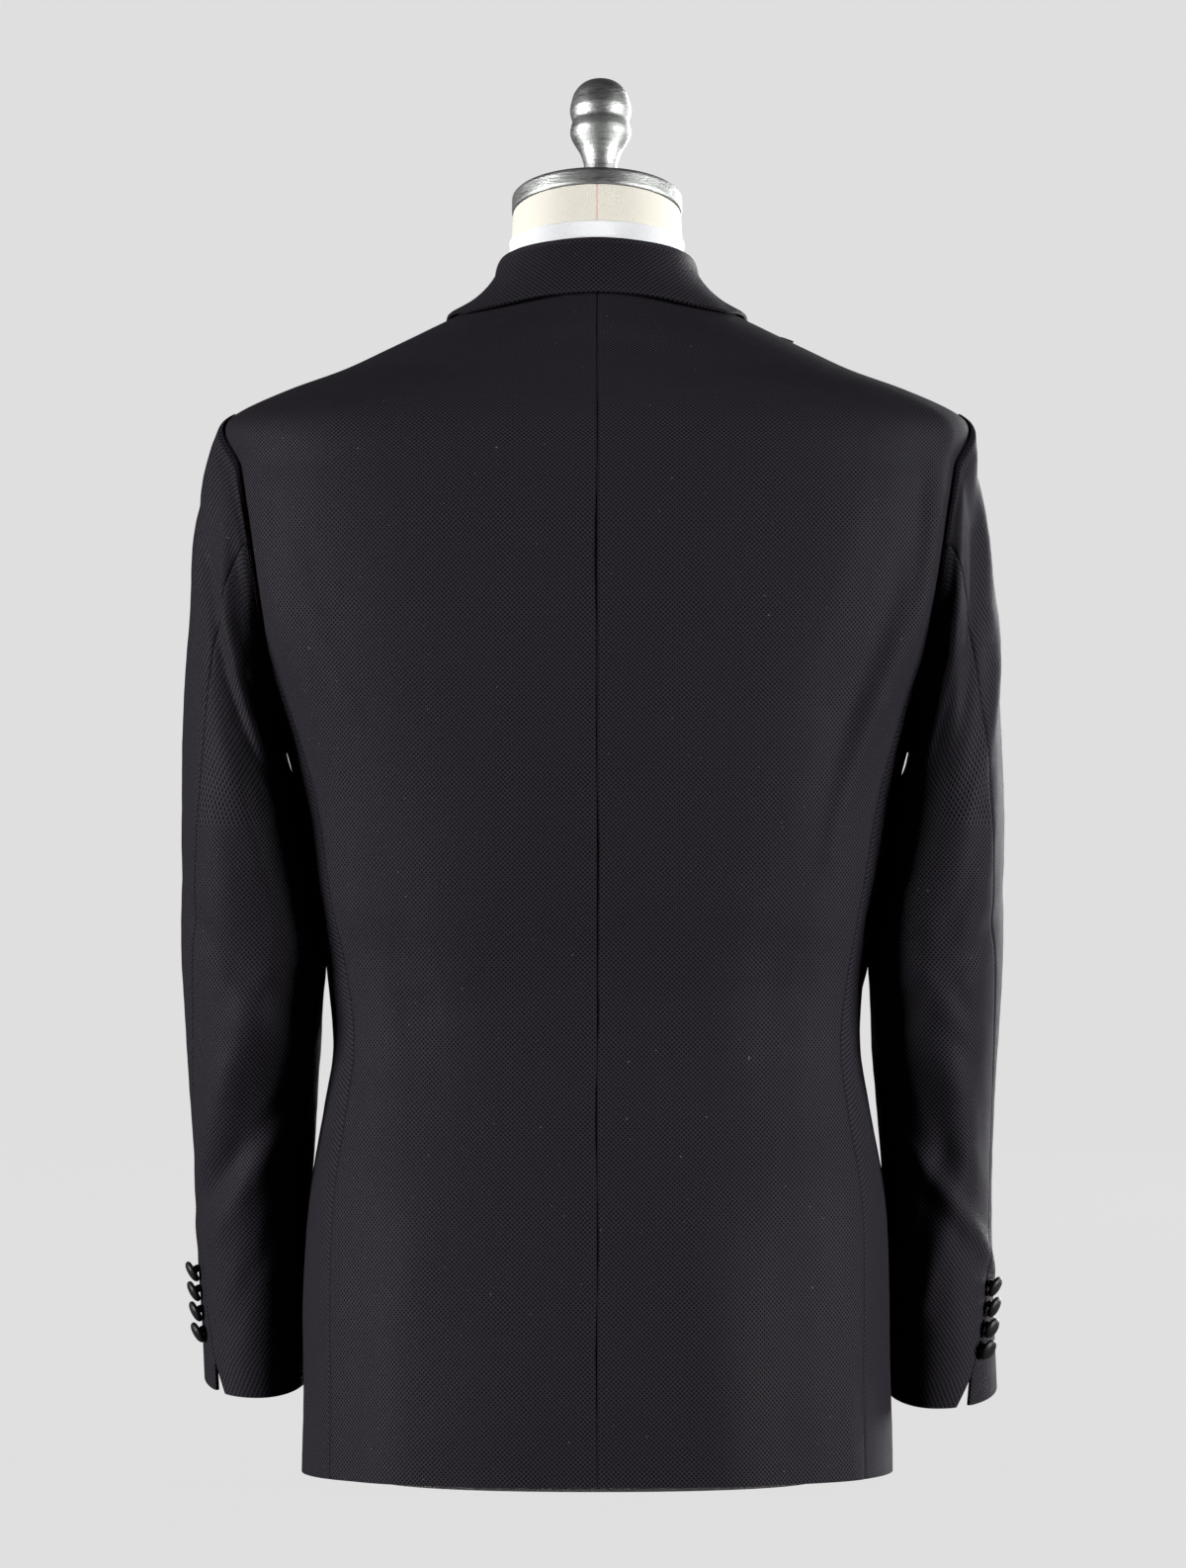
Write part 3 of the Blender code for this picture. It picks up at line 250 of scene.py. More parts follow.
def angle_at_y(y, z):
    """Angle of the ring's point with a given y: arc cosine of (y over depth) to half the fullness."""
    depth = np.where(y >= 0, column(RINGS, 2)(z), column(RINGS, 3)(z))
    share = np.clip(np.abs(y) / depth, 0, 1) ** (column(RINGS, 4)(z) / 2)
    return np.arccos(np.sign(y) * share)


def front_angle_at_x(x, z):
    """Angle of the front's point at x, from the wearer's own side."""
    share = np.clip(np.abs(x) / column(RINGS, 1)(z), 0, 0.9995) ** (column(RINGS, 4)(z) / 2)
    return np.pi - np.arcsin(np.sign(x) * share)


def armhole_half(z, depth):
    """Half opening of the armhole, an ellipse, 0 above and below it."""
    reach = np.where(z >= ARMHOLE["z"], ARMHOLE["rise"], ARMHOLE["drop"])
    return depth * np.sqrt(np.clip(1 - ((z - ARMHOLE["z"]) / reach) ** 2, 0, 1))


def panel_limit(z, seam_number, towards_back):
    """Side seam below, then the smaller panel of seam and armhole, then the shoulder seam."""
    seam = np.radians(column(SIDE_SEAMS, seam_number)(z))
    half = armhole_half(z, ARMHOLE["back"] if towards_back else ARMHOLE["front"])
    edge = angle_at_y(ARMHOLE["y"] + (half if towards_back else -half), z)
    nearer = np.minimum(seam, edge) if towards_back else np.maximum(seam, edge)
    return np.where(z < ARMHOLE["z"], nearer, edge)


waist = ring_point(RINGS, np.linspace(0, 2 * np.pi, 400), np.full(400, 0.262))
girth = float(np.linalg.norm(np.diff(waist, axis=0), axis=1).sum())
print("Waist round the cloth:", round(girth, 3), "m")

# %% [markdown]
# A panel is a grid of points. To become cloth it needs a second face one wall further in, and
# a rim that joins the two. Solidify could do this, but building both faces at once keeps the
# corners clean and lets the long edges roll in a little, as a pressed seam does. The UV map holds
# real metres along and across the cloth, so the weave follows the panel.

# %% Turn a grid of points into a closed sheet of cloth
def unit(vectors):
    """Vectors divided by their lengths."""
    return vectors / np.maximum(np.linalg.norm(vectors, axis=-1, keepdims=True), 1e-12)


def grid_normals(points, outward):
    """Cross product of the two grid directions, turned to agree with a rough outward direction."""
    normals = unit(np.cross(np.gradient(points, axis=1), np.gradient(points, axis=0)))
    return normals * (1.0 if np.sum(normals * outward) > 0 else -1.0)


TURN_STEP, HEIGHT_STEP = 0.004, 0.0005       # radians and metres, for slopes


def surface_normal(surface, angle, z):
    """Cross product of a small step round and a small step up, at unit length."""
    round_step = surface(angle + TURN_STEP, z) - surface(angle - TURN_STEP, z)
    up_step = surface(angle, z + HEIGHT_STEP) - surface(angle, z - HEIGHT_STEP)
    return unit(np.cross(round_step, up_step))


def arc_lengths(points, axis):
    """Running length along one direction of the grid, from its first line."""
    steps = np.linalg.norm(np.diff(points, axis=axis), axis=-1)
    start = np.zeros_like(np.take(steps, [0], axis=axis))
    return np.concatenate((start, np.cumsum(steps, axis=axis)), axis=axis)


def quads(index):
    """Quads of a grid of vertex numbers."""
    corners = (index[:-1, :-1], index[:-1, 1:], index[1:, 1:], index[1:, :-1])
    return np.stack(corners, axis=-1).reshape(-1, 4)


def mesh_object(name, vertices, faces, uv, material, fans=(), sharp_degrees=42.0):
    """Mesh from whole arrays: quads with a UV for each corner, then the triangles of closed ends."""
    fans = np.asarray(fans, dtype=np.int64).reshape(-1, 3)
    corners = np.concatenate((faces.ravel(), fans.ravel())).astype(np.int32)
    sizes = np.concatenate((np.full(len(faces), 4), np.full(len(fans), 3)))
    starts = (np.cumsum(sizes) - sizes).astype(np.int32)
    mesh = bpy.data.meshes.new(name)
    mesh.vertices.add(len(vertices))
    mesh.vertices.foreach_set("co", np.asarray(vertices, dtype=np.float32).ravel())
    mesh.loops.add(len(corners))
    mesh.loops.foreach_set("vertex_index", corners)
    mesh.polygons.add(len(sizes))
    mesh.polygons.foreach_set("loop_start", starts)
    mesh.update(calc_edges=True)
    mapped = np.concatenate((np.reshape(uv, (-1, 2)), np.zeros((fans.size, 2))))
    mesh.uv_layers.new(name="cloth").data.foreach_set("uv", mapped.astype(np.float32).ravel())
    mesh.shade_smooth()
    mesh.set_sharp_from_angle(angle=np.radians(sharp_degrees))
    mesh.materials.append(material)
    piece = bpy.data.objects.new(name, mesh)
    bpy.context.scene.collection.objects.link(piece)
    return piece


def closed_volume(vertices, faces):
    """Volume inside quads from the divergence theorem, negative if they face inwards."""
    a, b, c, d = (vertices[faces[:, k]] for k in range(4))
    return (np.sum(a * np.cross(b, c)) + np.sum(a * np.cross(c, d))) / 6


def seam_share(points, seams, reach):
    """exp(-(distance to a long edge / reach) squared), weighted for the first and the last edge."""
    across = arc_lengths(points, 1)
    first = seams[0] * np.exp(-(across / reach) ** 2)
    return np.maximum(first, seams[1] * np.exp(-((across[:, -1:] - across) / reach) ** 2))


def edge_shares(count, width):
    """Shares of a width in metres: close steps near both edges and even ones between."""
    near = np.array((0.0, 0.0005, 0.0011, 0.0019, 0.0031, 0.0052)) / width
    middle = np.linspace(near[-1], 1 - near[-1], fine(count))[1:-1]
    return np.concatenate((near, middle, 1 - near[::-1]))


def cloth_shell(name, points, outward, material, wall=WALL, dip=0.0006, gap=0.0001, seams=(1, 1)):
    """Closed sheet: outer grid with rolled edges, inner grid one wall in, and the rim."""
    normals = grid_normals(points, outward)
    points = points - normals * (dip * seam_share(points, (1, 1), 0.0013))[..., None]
    for edge, beside in ((0, 1), (-1, -2)):
        inwards = unit(points[:, beside] - points[:, edge])
        points[:, edge] += inwards * 0.5 * gap
    rows, columns = points.shape[:2]
    inner = points - normals * wall
    vertices = np.concatenate((points.reshape(-1, 3), inner.reshape(-1, 3))) + SHIFT
    index = np.arange(rows * columns).reshape(rows, columns)
    under = index + rows * columns
    loop = np.concatenate((index[0, :], index[1:, -1], index[-1, -2::-1], index[-2:0:-1, 0]))
    after = np.roll(loop, -1)
    rim = np.stack((after, loop, loop + rows * columns, after + rows * columns), axis=-1)
    faces = np.concatenate((quads(index), quads(under)[:, ::-1], rim))
    if closed_volume(vertices, faces) < 0:
        faces = faces[:, ::-1]
    u = arc_lengths(points, 1)
    v = np.median(arc_lengths(points, 0), axis=1, keepdims=True) + 0 * u
    uv = np.stack((u, v), axis=-1).reshape(-1, 2)
    uv = np.concatenate((uv, uv))
    piece = mesh_object(name, vertices, faces, uv[faces], material)
    # Painted shadow: this seam attribute darkens the cloth's colour along the seam edges.
    shade = np.tile(seam_share(points, seams, 0.0006).ravel(), 2)
    seam_shadow = piece.data.attributes.new("seam", "FLOAT", "POINT")
    seam_shadow.data.foreach_set("value", shade.astype(np.float32))
    return piece, points


def flat_cut(points):
    """Width, length and area of the flat cut that a grid of points was sewn from."""
    width = float(arc_lengths(points, 1)[:, -1].max())
    length = float(arc_lengths(points, 0)[-1].max())
    cross = np.cross(points[1:, 1:] - points[:-1, :-1], points[1:, :-1] - points[:-1, 1:])
    return (round(width, 3), round(length, 3)), float(0.5 * np.linalg.norm(cross, axis=-1).sum())


def finish_solid(piece, node):
    """Attach a piece to what it rides on and hide the solid it replaces."""
    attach(piece, "root")
    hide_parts(node)


def finish_cloth(piece, points, node, width=None):
    """Attach a cloth piece as the others are, and print how it was cut."""
    finish_solid(piece, node)
    (arc_width, length), area = flat_cut(points)
    width = width or arc_width
    faces = len(piece.data.polygons)
    print(f"{piece.name}: cut {width:.3f} x {length:.3f} m, {area:.4f} m2, {faces} faces")


# %% [markdown]
# The cloth is a black jacquard: a very small lattice of diamonds woven a shade brighter than the
# ground, with a dark point inside each diamond. It could be a picture, but a formula stays sharp
# at any distance. Two sets of slanting stripes cross, and the group puts out the lines,
# the points and a height. A second group makes the plain over-and-under of threads.

# %% Shader groups: lattice, threads, and patches of painted sheen and wear
def set_inputs(node, **values):
    """Numbers, colours or sockets on a node's inputs; an underscore stands for a space."""
    for label, value in values.items():
        socket = node.inputs[label.replace("_", " ")]
        if isinstance(value, bpy.types.NodeSocket):
            node.id_data.links.new(value, socket)
        else:
            socket.default_value = value


def add_node(tree, kind, **values):
    """New node with its inputs set."""
    node = tree.nodes.new(kind)
    set_inputs(node, **values)
    return node


def node_group(name, outputs, pitch=None):
    """Empty shader group with a vector, perhaps a pitch, and float outputs."""
    group = bpy.data.node_groups.new(name, "ShaderNodeTree")
    group.interface.new_socket("Vector", in_out="INPUT", socket_type="NodeSocketVector")
    if pitch:
        wide = group.interface.new_socket("Pitch", in_out="INPUT", socket_type="NodeSocketFloat")
        wide.default_value = pitch
    for label in outputs:
        group.interface.new_socket(label, in_out="OUTPUT", socket_type="NodeSocketFloat")
    return group, group.nodes.new("NodeGroupInput").outputs, group.nodes.new("NodeGroupOutput")


def maths(tree, operation, *values):
    """Math node whose inputs are numbers or sockets; returns its output."""
    node = tree.nodes.new("ShaderNodeMath")
    node.operation = operation
    for place, value in enumerate(values):
        if isinstance(value, (int, float)):
            node.inputs[place].default_value = value
        else:
            tree.links.new(value, node.inputs[place])
    return node.outputs[0]


def band(tree, value, low, high):
    """Smooth step from 0 at low to 1 at high."""
    node = add_node(tree, "ShaderNodeMapRange", Value=value, From_Min=low, From_Max=high)
    node.interpolation_type = "SMOOTHSTEP"
    return node.outputs[0]


def noise(tree, vector, scale, detail=3.0, roughness=0.5):
    """Noise texture; returns its factor."""
    return add_node(tree, "ShaderNodeTexNoise", Vector=vector, Scale=scale, Detail=detail,
                    Roughness=roughness).outputs["Fac"]


def in_pitches(group, given):
    """The first two coordinates divided by the pitch."""
    split = group.nodes.new("ShaderNodeSeparateXYZ")
    group.links.new(given["Vector"], split.inputs[0])
    return [maths(group, "DIVIDE", split.outputs[axis], given["Pitch"]) for axis in (0, 1)]


def lattice_group():
    """Distance to the nearest of two families of slanting lines, at u + v and u - v."""
    group, given, put = node_group("jacquard_lattice", ["Lines", "Points", "Height"], 0.0028)
    u, v = in_pitches(group, given)
    centred = []
    for operation in ("ADD", "SUBTRACT"):
        part = maths(group, "FRACT", maths(group, operation, u, v))
        centred.append(maths(group, "ABSOLUTE", maths(group, "SUBTRACT", part, 0.5)))
    spread = maths(group, "MAXIMUM", *centred)
    lines = band(group, spread, 0.30, 0.44)
    points = maths(group, "SUBTRACT", 1.0, band(group, spread, 0.07, 0.17))
    set_inputs(put, Lines=lines, Points=points, Height=maths(group, "SUBTRACT", lines, points))
    return group


def threads_group():
    """Plain weave: sine humps of warp and weft that take turns, with slubs of noise."""
    group, given, put = node_group("woven_threads", ["Height", "Shade"], 0.0006)
    humps = [maths(group, "SINE", maths(group, "MULTIPLY", turns, np.pi))
             for turns in in_pitches(group, given)]
    cross = maths(group, "MULTIPLY", *humps)
    slub = maths(group, "MULTIPLY", noise(group, given["Vector"], 900.0, 2.0), 0.8)
    set_inputs(put, Height=maths(group, "ADD", cross, slub),
               Shade=maths(group, "MULTIPLY_ADD", cross, 0.25, 0.6))
    return group


def sheen_and_wear_group():
    """Broad patches of noise, which paint sheen on the black cloth and stand for grime and wear on
    the others, and rare lint.
    """
    group, given, put = node_group("sheen_and_wear", ["Patches", "Lint"])
    vector = given["Vector"]
    set_inputs(put, Patches=band(group, noise(group, vector, 9.0, 4.0, 0.55), 0.30, 0.72),
               Lint=band(group, noise(group, vector, 520.0, 1.0, 0.4), 0.80, 0.84))
    return group


LATTICE, THREADS, SHEEN_AND_WEAR = lattice_group(), threads_group(), sheen_and_wear_group()
print("Shader groups:", [g.name for g in bpy.data.node_groups])

# %% [markdown]
# Each material keeps its own shader and takes what varies from the groups. Black cloth is hardly
# ever black: what the eye reads is the soft sheen of the fibres where the surface turns away,
# so the ground colour is very dark. An attribute that fades from the seams paints shade on the
# cloth where two panels dip into each other.

# %% Materials of the jacket
def new_material(name):
    """Empty Principled material; returns it with its tree and shader."""
    material = bpy.data.materials.new(name)
    material.use_nodes = True
    tree = material.node_tree
    return material, tree, tree.nodes["Principled BSDF"]


def coordinates(tree, kind):
    """Output of a Texture Coordinate node."""
    return tree.nodes.new("ShaderNodeTexCoord").outputs[kind]


def use_group(tree, group, vector, **values):
    """Place a group in a tree with its vector and its own values."""
    node = tree.nodes.new("ShaderNodeGroup")
    node.node_tree = group
    set_inputs(node, Vector=vector, **values)
    return node.outputs


def mix_colour(tree, factor, first, second):
    """Colour mix by a factor socket."""
    node = tree.nodes.new("ShaderNodeMix")
    node.data_type = "RGBA"
    tree.links.new(factor, node.inputs["Factor"])
    for place, value in ((6, first), (7, second)):
        if isinstance(value, tuple):
            node.inputs[place].default_value = (*value, 1.0)
        else:
            tree.links.new(value, node.inputs[place])
    return node.outputs[2]


def bump(tree, height, distance, strength, shader):
    """Bump node into the shader's Normal."""
    node = add_node(tree, "ShaderNodeBump", Distance=distance, Strength=strength, Height=height)
    set_inputs(shader, Normal=node.outputs[0])


def black_jacquard():
    """Ground with patches of painted sheen, brighter lattice lines, dark points, painted shadow along
    the seams, and rare lint.
    """
    material, tree, shader = new_material("black_cloth_finish")
    uv = coordinates(tree, "UV")
    lattice = use_group(tree, LATTICE, uv, Pitch=0.0028)
    sheen_and_wear_marks = use_group(tree, SHEEN_AND_WEAR, coordinates(tree, "Object"))
    # Painted sheen: the ground colour is lighter in broad noise patches.
    ground = mix_colour(tree, sheen_and_wear_marks["Patches"], (0.0044, 0.0036, 0.0052), (0.0060, 0.0050, 0.0070))
    lined = mix_colour(tree, lattice["Lines"], ground, (0.0250, 0.0225, 0.0290))
    pointed = mix_colour(tree, lattice["Points"], lined, (0.0012, 0.0009, 0.0014))
    # Painted shadow: the seam attribute darkens the colour where the panels dip into each other.
    sewn = tree.nodes.new("ShaderNodeAttribute")
    sewn.attribute_name = "seam"
    shade = maths(tree, "MULTIPLY", sewn.outputs["Fac"], 0.65)
    seam_shaded = mix_colour(tree, shade, pointed, (0.0010, 0.0008, 0.0012))
    linted = mix_colour(tree, sheen_and_wear_marks["Lint"], seam_shaded, (0.10, 0.10, 0.10))
    rough = maths(tree, "SUBTRACT", 0.72, maths(tree, "MULTIPLY", lattice["Lines"], 0.16))
    set_inputs(shader, Base_Color=linted, Roughness=rough, Specular_IOR_Level=0.05,
               Sheen_Weight=0.006, Sheen_Roughness=0.40, Sheen_Tint=(0.92, 0.86, 1.0, 1.0))
    bump(tree, lattice["Height"], 0.00010, 0.6, shader)
    return material


def black_satin():
    """Fine ribs across the cloth and a low roughness that the ribs break up."""
    material, tree, shader = new_material("black_satin_finish")
    threads = use_group(tree, THREADS, coordinates(tree, "UV"), Pitch=0.0007)
    sheen_and_wear_marks = use_group(tree, SHEEN_AND_WEAR, coordinates(tree, "Object"))
    colour = mix_colour(tree, threads["Shade"], (0.0030, 0.0025, 0.0032), (0.0080, 0.0070, 0.0086))
    rough = maths(tree, "SUBTRACT", 0.48, maths(tree, "MULTIPLY", sheen_and_wear_marks["Patches"], 0.08))
    set_inputs(shader, Base_Color=colour, Roughness=rough, Specular_IOR_Level=0.34,
               Sheen_Weight=0.02, Sheen_Roughness=0.30)
    bump(tree, threads["Height"], 0.00006, 0.6, shader)
    return material


CLOTH, SATIN = black_jacquard(), black_satin()
print("Jacket materials:", CLOTH.name, SATIN.name)

# %% [markdown]
# The back is cut in two halves with a seam down the middle. The seam swings in at the waist and
# out over the seat, and that alone shapes a plain back. The rows crowd together over
# the shoulders, where the cloth turns quickly.

# %% Rows of the body and the two backs
def body_levels(count):
    """Heights from hem to neckline; the top fifth of the rows lies above the armhole."""
    share = np.linspace(0, 1, fine(count))
    heights = np.array((HEM, 0.036, 0.600, 0.6465, NECKLINE))
    return smooth(share, np.array((0.0, 0.06, 0.72, 0.80, 1.0)), heights)


def panel_grid(levels, start, end, columns, width):
    """Angles spread between two seam functions of the height."""
    share = edge_shares(columns, width)
    low, high = start(levels)[:, None], end(levels)[:, None]
    return low + (high - low) * share, levels[:, None] + 0 * share


LEVELS = body_levels(250)
for side, word in SIDES:
    angle, z = panel_grid(LEVELS, lambda h: 0 * h, lambda h: panel_limit(h, 1, True), 60, 0.20)
    points = body_surface(side, angle, z)
    piece, sewn = cloth_shell(f"back_{word}_cloth", points, outward_of(side, angle), CLOTH)
    finish_cloth(piece, sewn, f"back_{word}")

# %% [markdown]
# The side panel runs under the arm. Its upper edge is the floor of the armhole, so each of its
# columns ends at its own height, found by moving up until the armhole's ellipse is met.

# %% Side panels
def armhole_floor(angle):
    """Height where a column meets the armhole's lower half, by repeated averaging."""
    z = np.full_like(angle, 0.46)
    for _ in range(14):
        y = ring_point(RINGS, angle, z)[..., 1] - ARMHOLE["y"]
        share = np.clip(np.abs(y) / np.where(y > 0, ARMHOLE["back"], ARMHOLE["front"]), 0, 0.995)
        z = 0.5 * z + 0.5 * (ARMHOLE["z"] - ARMHOLE["drop"] * np.sqrt(1 - share ** 2))
    return z


def side_grid(rows, columns):
    """Share of the way up each column times that column's own height."""
    up = np.linspace(0, 1, fine(rows))[:, None]
    across = edge_shares(columns, 0.09)
    z = HEM + up * 0.45 + 0 * across
    for _ in range(6):
        low, high = (np.radians(column(SIDE_SEAMS, k)(z)) for k in (1, 2))
        angle = low + (high - low) * across
        z = HEM + up * (armhole_floor(angle[-1]) - HEM)
    return angle, z


for side, word in SIDES:
    angle, z = side_grid(160, 36)
    piece, sewn = cloth_shell(
        f"side_{word}_cloth", body_surface(side, angle, z), outward_of(side, angle), CLOTH)
    finish_cloth(piece, sewn, f"side_{word}")

# %% [markdown]
# The fronts hide from the camera but are looked at from the other sides. Each runs from the
# side seam to its front edge, which opens in a long V above the waist button and is cut away
# in a curve below it. The left front laps over the right one, so it lifts off near the middle.

# %% Fronts
def lap(side, angle):
    """Lift of the left front: a straight ramp between 152 and 172 degrees."""
    return FRONT_LAP * np.clip((np.degrees(angle) - 152) / 20, 0, 1) * (side > 0)


def lifted(side, angle, z, lift):
    """Body surface moved out along its own normal, with the normal from small steps."""
    inside = np.clip(z, HEM + HEIGHT_STEP, NECKLINE - HEIGHT_STEP)
    normal = surface_normal(lambda a, h: body_surface(side, a, h), angle, inside) * -side
    return body_surface(side, angle, z) + normal * np.asarray(lift)[..., None]


def front_edge(z):
    """Angle of the front edge at a height."""
    return front_angle_at_x(column(FRONT_EDGE, 1)(z), z)


for side, word in SIDES:
    angle, z = panel_grid(LEVELS, lambda h: panel_limit(h, 2, False), front_edge, 60, 0.20)
    points = lifted(side, angle, z, lap(side, angle))
    piece, sewn = cloth_shell(
        f"front_{word}_cloth", points, outward_of(side, angle), CLOTH, seams=(1, 0))
    finish_cloth(piece, sewn, f"front_{word}")

# %% [markdown]
# A sleeve is a bent tube. Below the biceps it is again a table of rings, leaning forwards as
# an arm hangs. Above, every line of the tube is a cubic curve that leaves the armhole square
# to the body and arrives straight down at the biceps. That gives the rounded sleeve head.

# %% Rings, seams and hang of the sleeves
# columns: height, inner_x, outer_x, centre_y, half_depth, fullness, rise towards the front
SLEEVE_RINGS = np.array((
    (0.046, 0.1765, 0.2360, -0.0510, 0.0530, 2.10, 0.20),
    (0.100, 0.1755, 0.2370, -0.0440, 0.0540, 2.10, 0.20),
    (0.172, 0.1738, 0.2400, -0.0330, 0.0565, 2.10, 0.18),
    (0.226, 0.1700, 0.2435, -0.0240, 0.0585, 2.10, 0.14),
    (0.280, 0.1670, 0.2466, -0.0150, 0.0605, 2.15, 0.09),
    (0.316, 0.1667, 0.2484, -0.0100, 0.0620, 2.20, 0.05),
    (0.352, 0.1730, 0.2487, -0.0070, 0.0640, 2.20, 0.02),
    (0.400, 0.1808, 0.2490, -0.0040, 0.0660, 2.20, 0.00),
))
# columns: along (0 armhole, 1 biceps, 2 cuff), hind seam and fore seam in degrees from outside
SLEEVE_SEAMS = np.array((
    (0.00, 76.0, -112.0), (0.50, 60.0, -116.0), (1.00, 47.0, -120.0), (1.30, 32.0, -122.0),
    (1.60, 20.0, -122.0), (1.85, 34.0, -122.0), (2.00, 58.0, -122.0),
))
# columns: along, outward shift left and right, lift left and right
HANG = np.array((
    (0.00, 0.0000, 0.0000, 0.0000, 0.0), (0.05, -0.0002, -0.0008, 0.0000, 0.0),
    (0.13, -0.0010, -0.0040, 0.0000, 0.0), (0.22, -0.0010, -0.0062, 0.0000, 0.0),
    (0.30, 0.0000, -0.0058, 0.0000, 0.0), (0.60, 0.0026, -0.0052, 0.0000, 0.0),
    (1.00, 0.0034, -0.0014, 0.0000, 0.0), (1.30, 0.0038, -0.0014, 0.0015, 0.0),
    (1.60, 0.0050, 0.0002, 0.0035, 0.0), (1.85, 0.0056, 0.0058, 0.0060, 0.0),
    (2.00, 0.0046, 0.0092, 0.0065, 0.0),
))
# Folds that the solids have more plainly, and swells of the inner side that close the gap to the
# body. columns: side (0 for both), degrees, along, width, length, slant, depth
SLEEVE_FOLDS = (
    (1, 44.0, 0.40, 16.0, 0.28, -40.0, -0.0022), (1, 74.0, 0.55, 14.0, 0.26, 60.0, -0.0040),
    (1, 60.0, 0.34, 12.0, 0.24, 20.0, 0.0016), (-1, 54.0, 0.46, 16.0, 0.34, 45.0, -0.0040),
    (-1, 88.0, 0.40, 13.0, 0.30, 40.0, 0.0036), (-1, 36.0, 0.70, 12.0, 0.24, 40.0, 0.0025),
    (1, 70.0, 1.22, 17.0, 0.11, 50.0, -0.0026), (-1, 80.0, 1.24, 17.0, 0.11, 60.0, -0.0030),
    (1, 84.0, 1.62, 17.0, 0.17, -70.0, 0.0022), (1, 60.0, 1.60, 16.0, 0.15, -70.0, -0.0022),
    (-1, 70.0, 1.66, 13.0, 0.18, -80.0, 0.0035), (0, 200.0, 1.20, 16.0, 0.10, 30.0, -0.0035),
    (0, -60.0, 0.50, 14.0, 0.26, 30.0, -0.0050), (0, 176.0, 0.60, 30.0, 0.30, 0.0, 0.0045),
    (1, 178.0, 1.07, 26.0, 0.14, 0.0, 0.0050), (-1, 178.0, 1.07, 26.0, 0.14, 0.0, 0.0045),
    (0, 152.0, 0.64, 24.0, 0.18, 0.0, 0.0040), (0, 158.0, 1.20, 24.0, 0.07, 0.0, 0.0036),
)
BICEPS, CUFF, VENT_TOP, VENT_SPREAD = 0.400, 0.046, 0.064, 0.11
CUFF_TWIST = {1: -10.0, -1: 8.0}             # degrees that the cuff turns the hind seam backwards
SLEEVE_RADIUS = 0.050                        # turns degrees into metres round the sleeve
print("Sleeve from biceps", BICEPS, "to cuff", CUFF)

# %% [markdown]
# The creases of the sleeves come from the photograph: long slanting troughs below the armhole,
# short folds at the elbow, and a twist above the cuff. The hidden inner and front sides
# get creases of the same kind.

# %% Fine creases of the sleeves
# columns: degrees and height of one end, degrees and height of the other, width, depth
SLEEVE_CREASES = {
    1: (
        (70, 0.560, 100, 0.470, 0.0110, -0.0014), (66, 0.492, 108, 0.410, 0.0085, -0.0026),
        (92, 0.486, 140, 0.430, 0.0060, -0.0020), (70, 0.520, 112, 0.440, 0.0080, 0.0016),
        (84, 0.440, 122, 0.330, 0.0100, 0.0014), (104, 0.300, 74, 0.262, 0.0090, -0.0010),
        (96, 0.200, 36, 0.130, 0.0120, 0.0009), (76, 0.186, 24, 0.128, 0.0120, -0.0009),
        (112, 0.150, 66, 0.090, 0.0090, -0.0008), (-20, 0.560, -60, 0.470, 0.0090, -0.0018),
        (150, 0.390, 88, 0.278, 0.0150, 0.0032), (88, 0.278, 14, 0.152, 0.0150, 0.0030),
        (128, 0.300, 60, 0.170, 0.0130, -0.0022), (96, 0.300, 66, 0.236, 0.0080, 0.0012),
        (-60, 0.480, -100, 0.420, 0.0080, -0.0016), (-30, 0.330, -80, 0.296, 0.0080, -0.0014),
        (-50, 0.280, -100, 0.250, 0.0075, -0.0012), (180, 0.330, 215, 0.290, 0.0070, -0.0014),
    ),
    -1: (
        (60, 0.570, 96, 0.500, 0.0120, -0.0014), (76, 0.530, 96, 0.420, 0.0110, 0.0016),
        (92, 0.500, 126, 0.370, 0.0085, -0.0026), (34, 0.520, 52, 0.360, 0.0100, 0.0013),
        (110, 0.440, 132, 0.340, 0.0070, 0.0014), (112, 0.330, 70, 0.286, 0.0075, -0.0014),
        (116, 0.296, 64, 0.256, 0.0070, -0.0013), (110, 0.270, 74, 0.238, 0.0070, 0.0010),
        (64, 0.196, 106, 0.104, 0.0090, 0.0015), (90, 0.200, 122, 0.120, 0.0080, -0.0012),
        (142, 0.400, 96, 0.300, 0.0140, 0.0026), (96, 0.300, 56, 0.190, 0.0140, 0.0022),
        (132, 0.310, 84, 0.200, 0.0120, -0.0024), (60, 0.400, 88, 0.330, 0.0090, -0.0014),
        (-20, 0.560, -62, 0.466, 0.0090, -0.0018), (-58, 0.490, -98, 0.424, 0.0080, -0.0016),
        (-30, 0.326, -82, 0.292, 0.0080, -0.0014), (-52, 0.276, -98, 0.246, 0.0075, -0.0012),
        (182, 0.334, 212, 0.288, 0.0070, -0.0014),
    ),
}


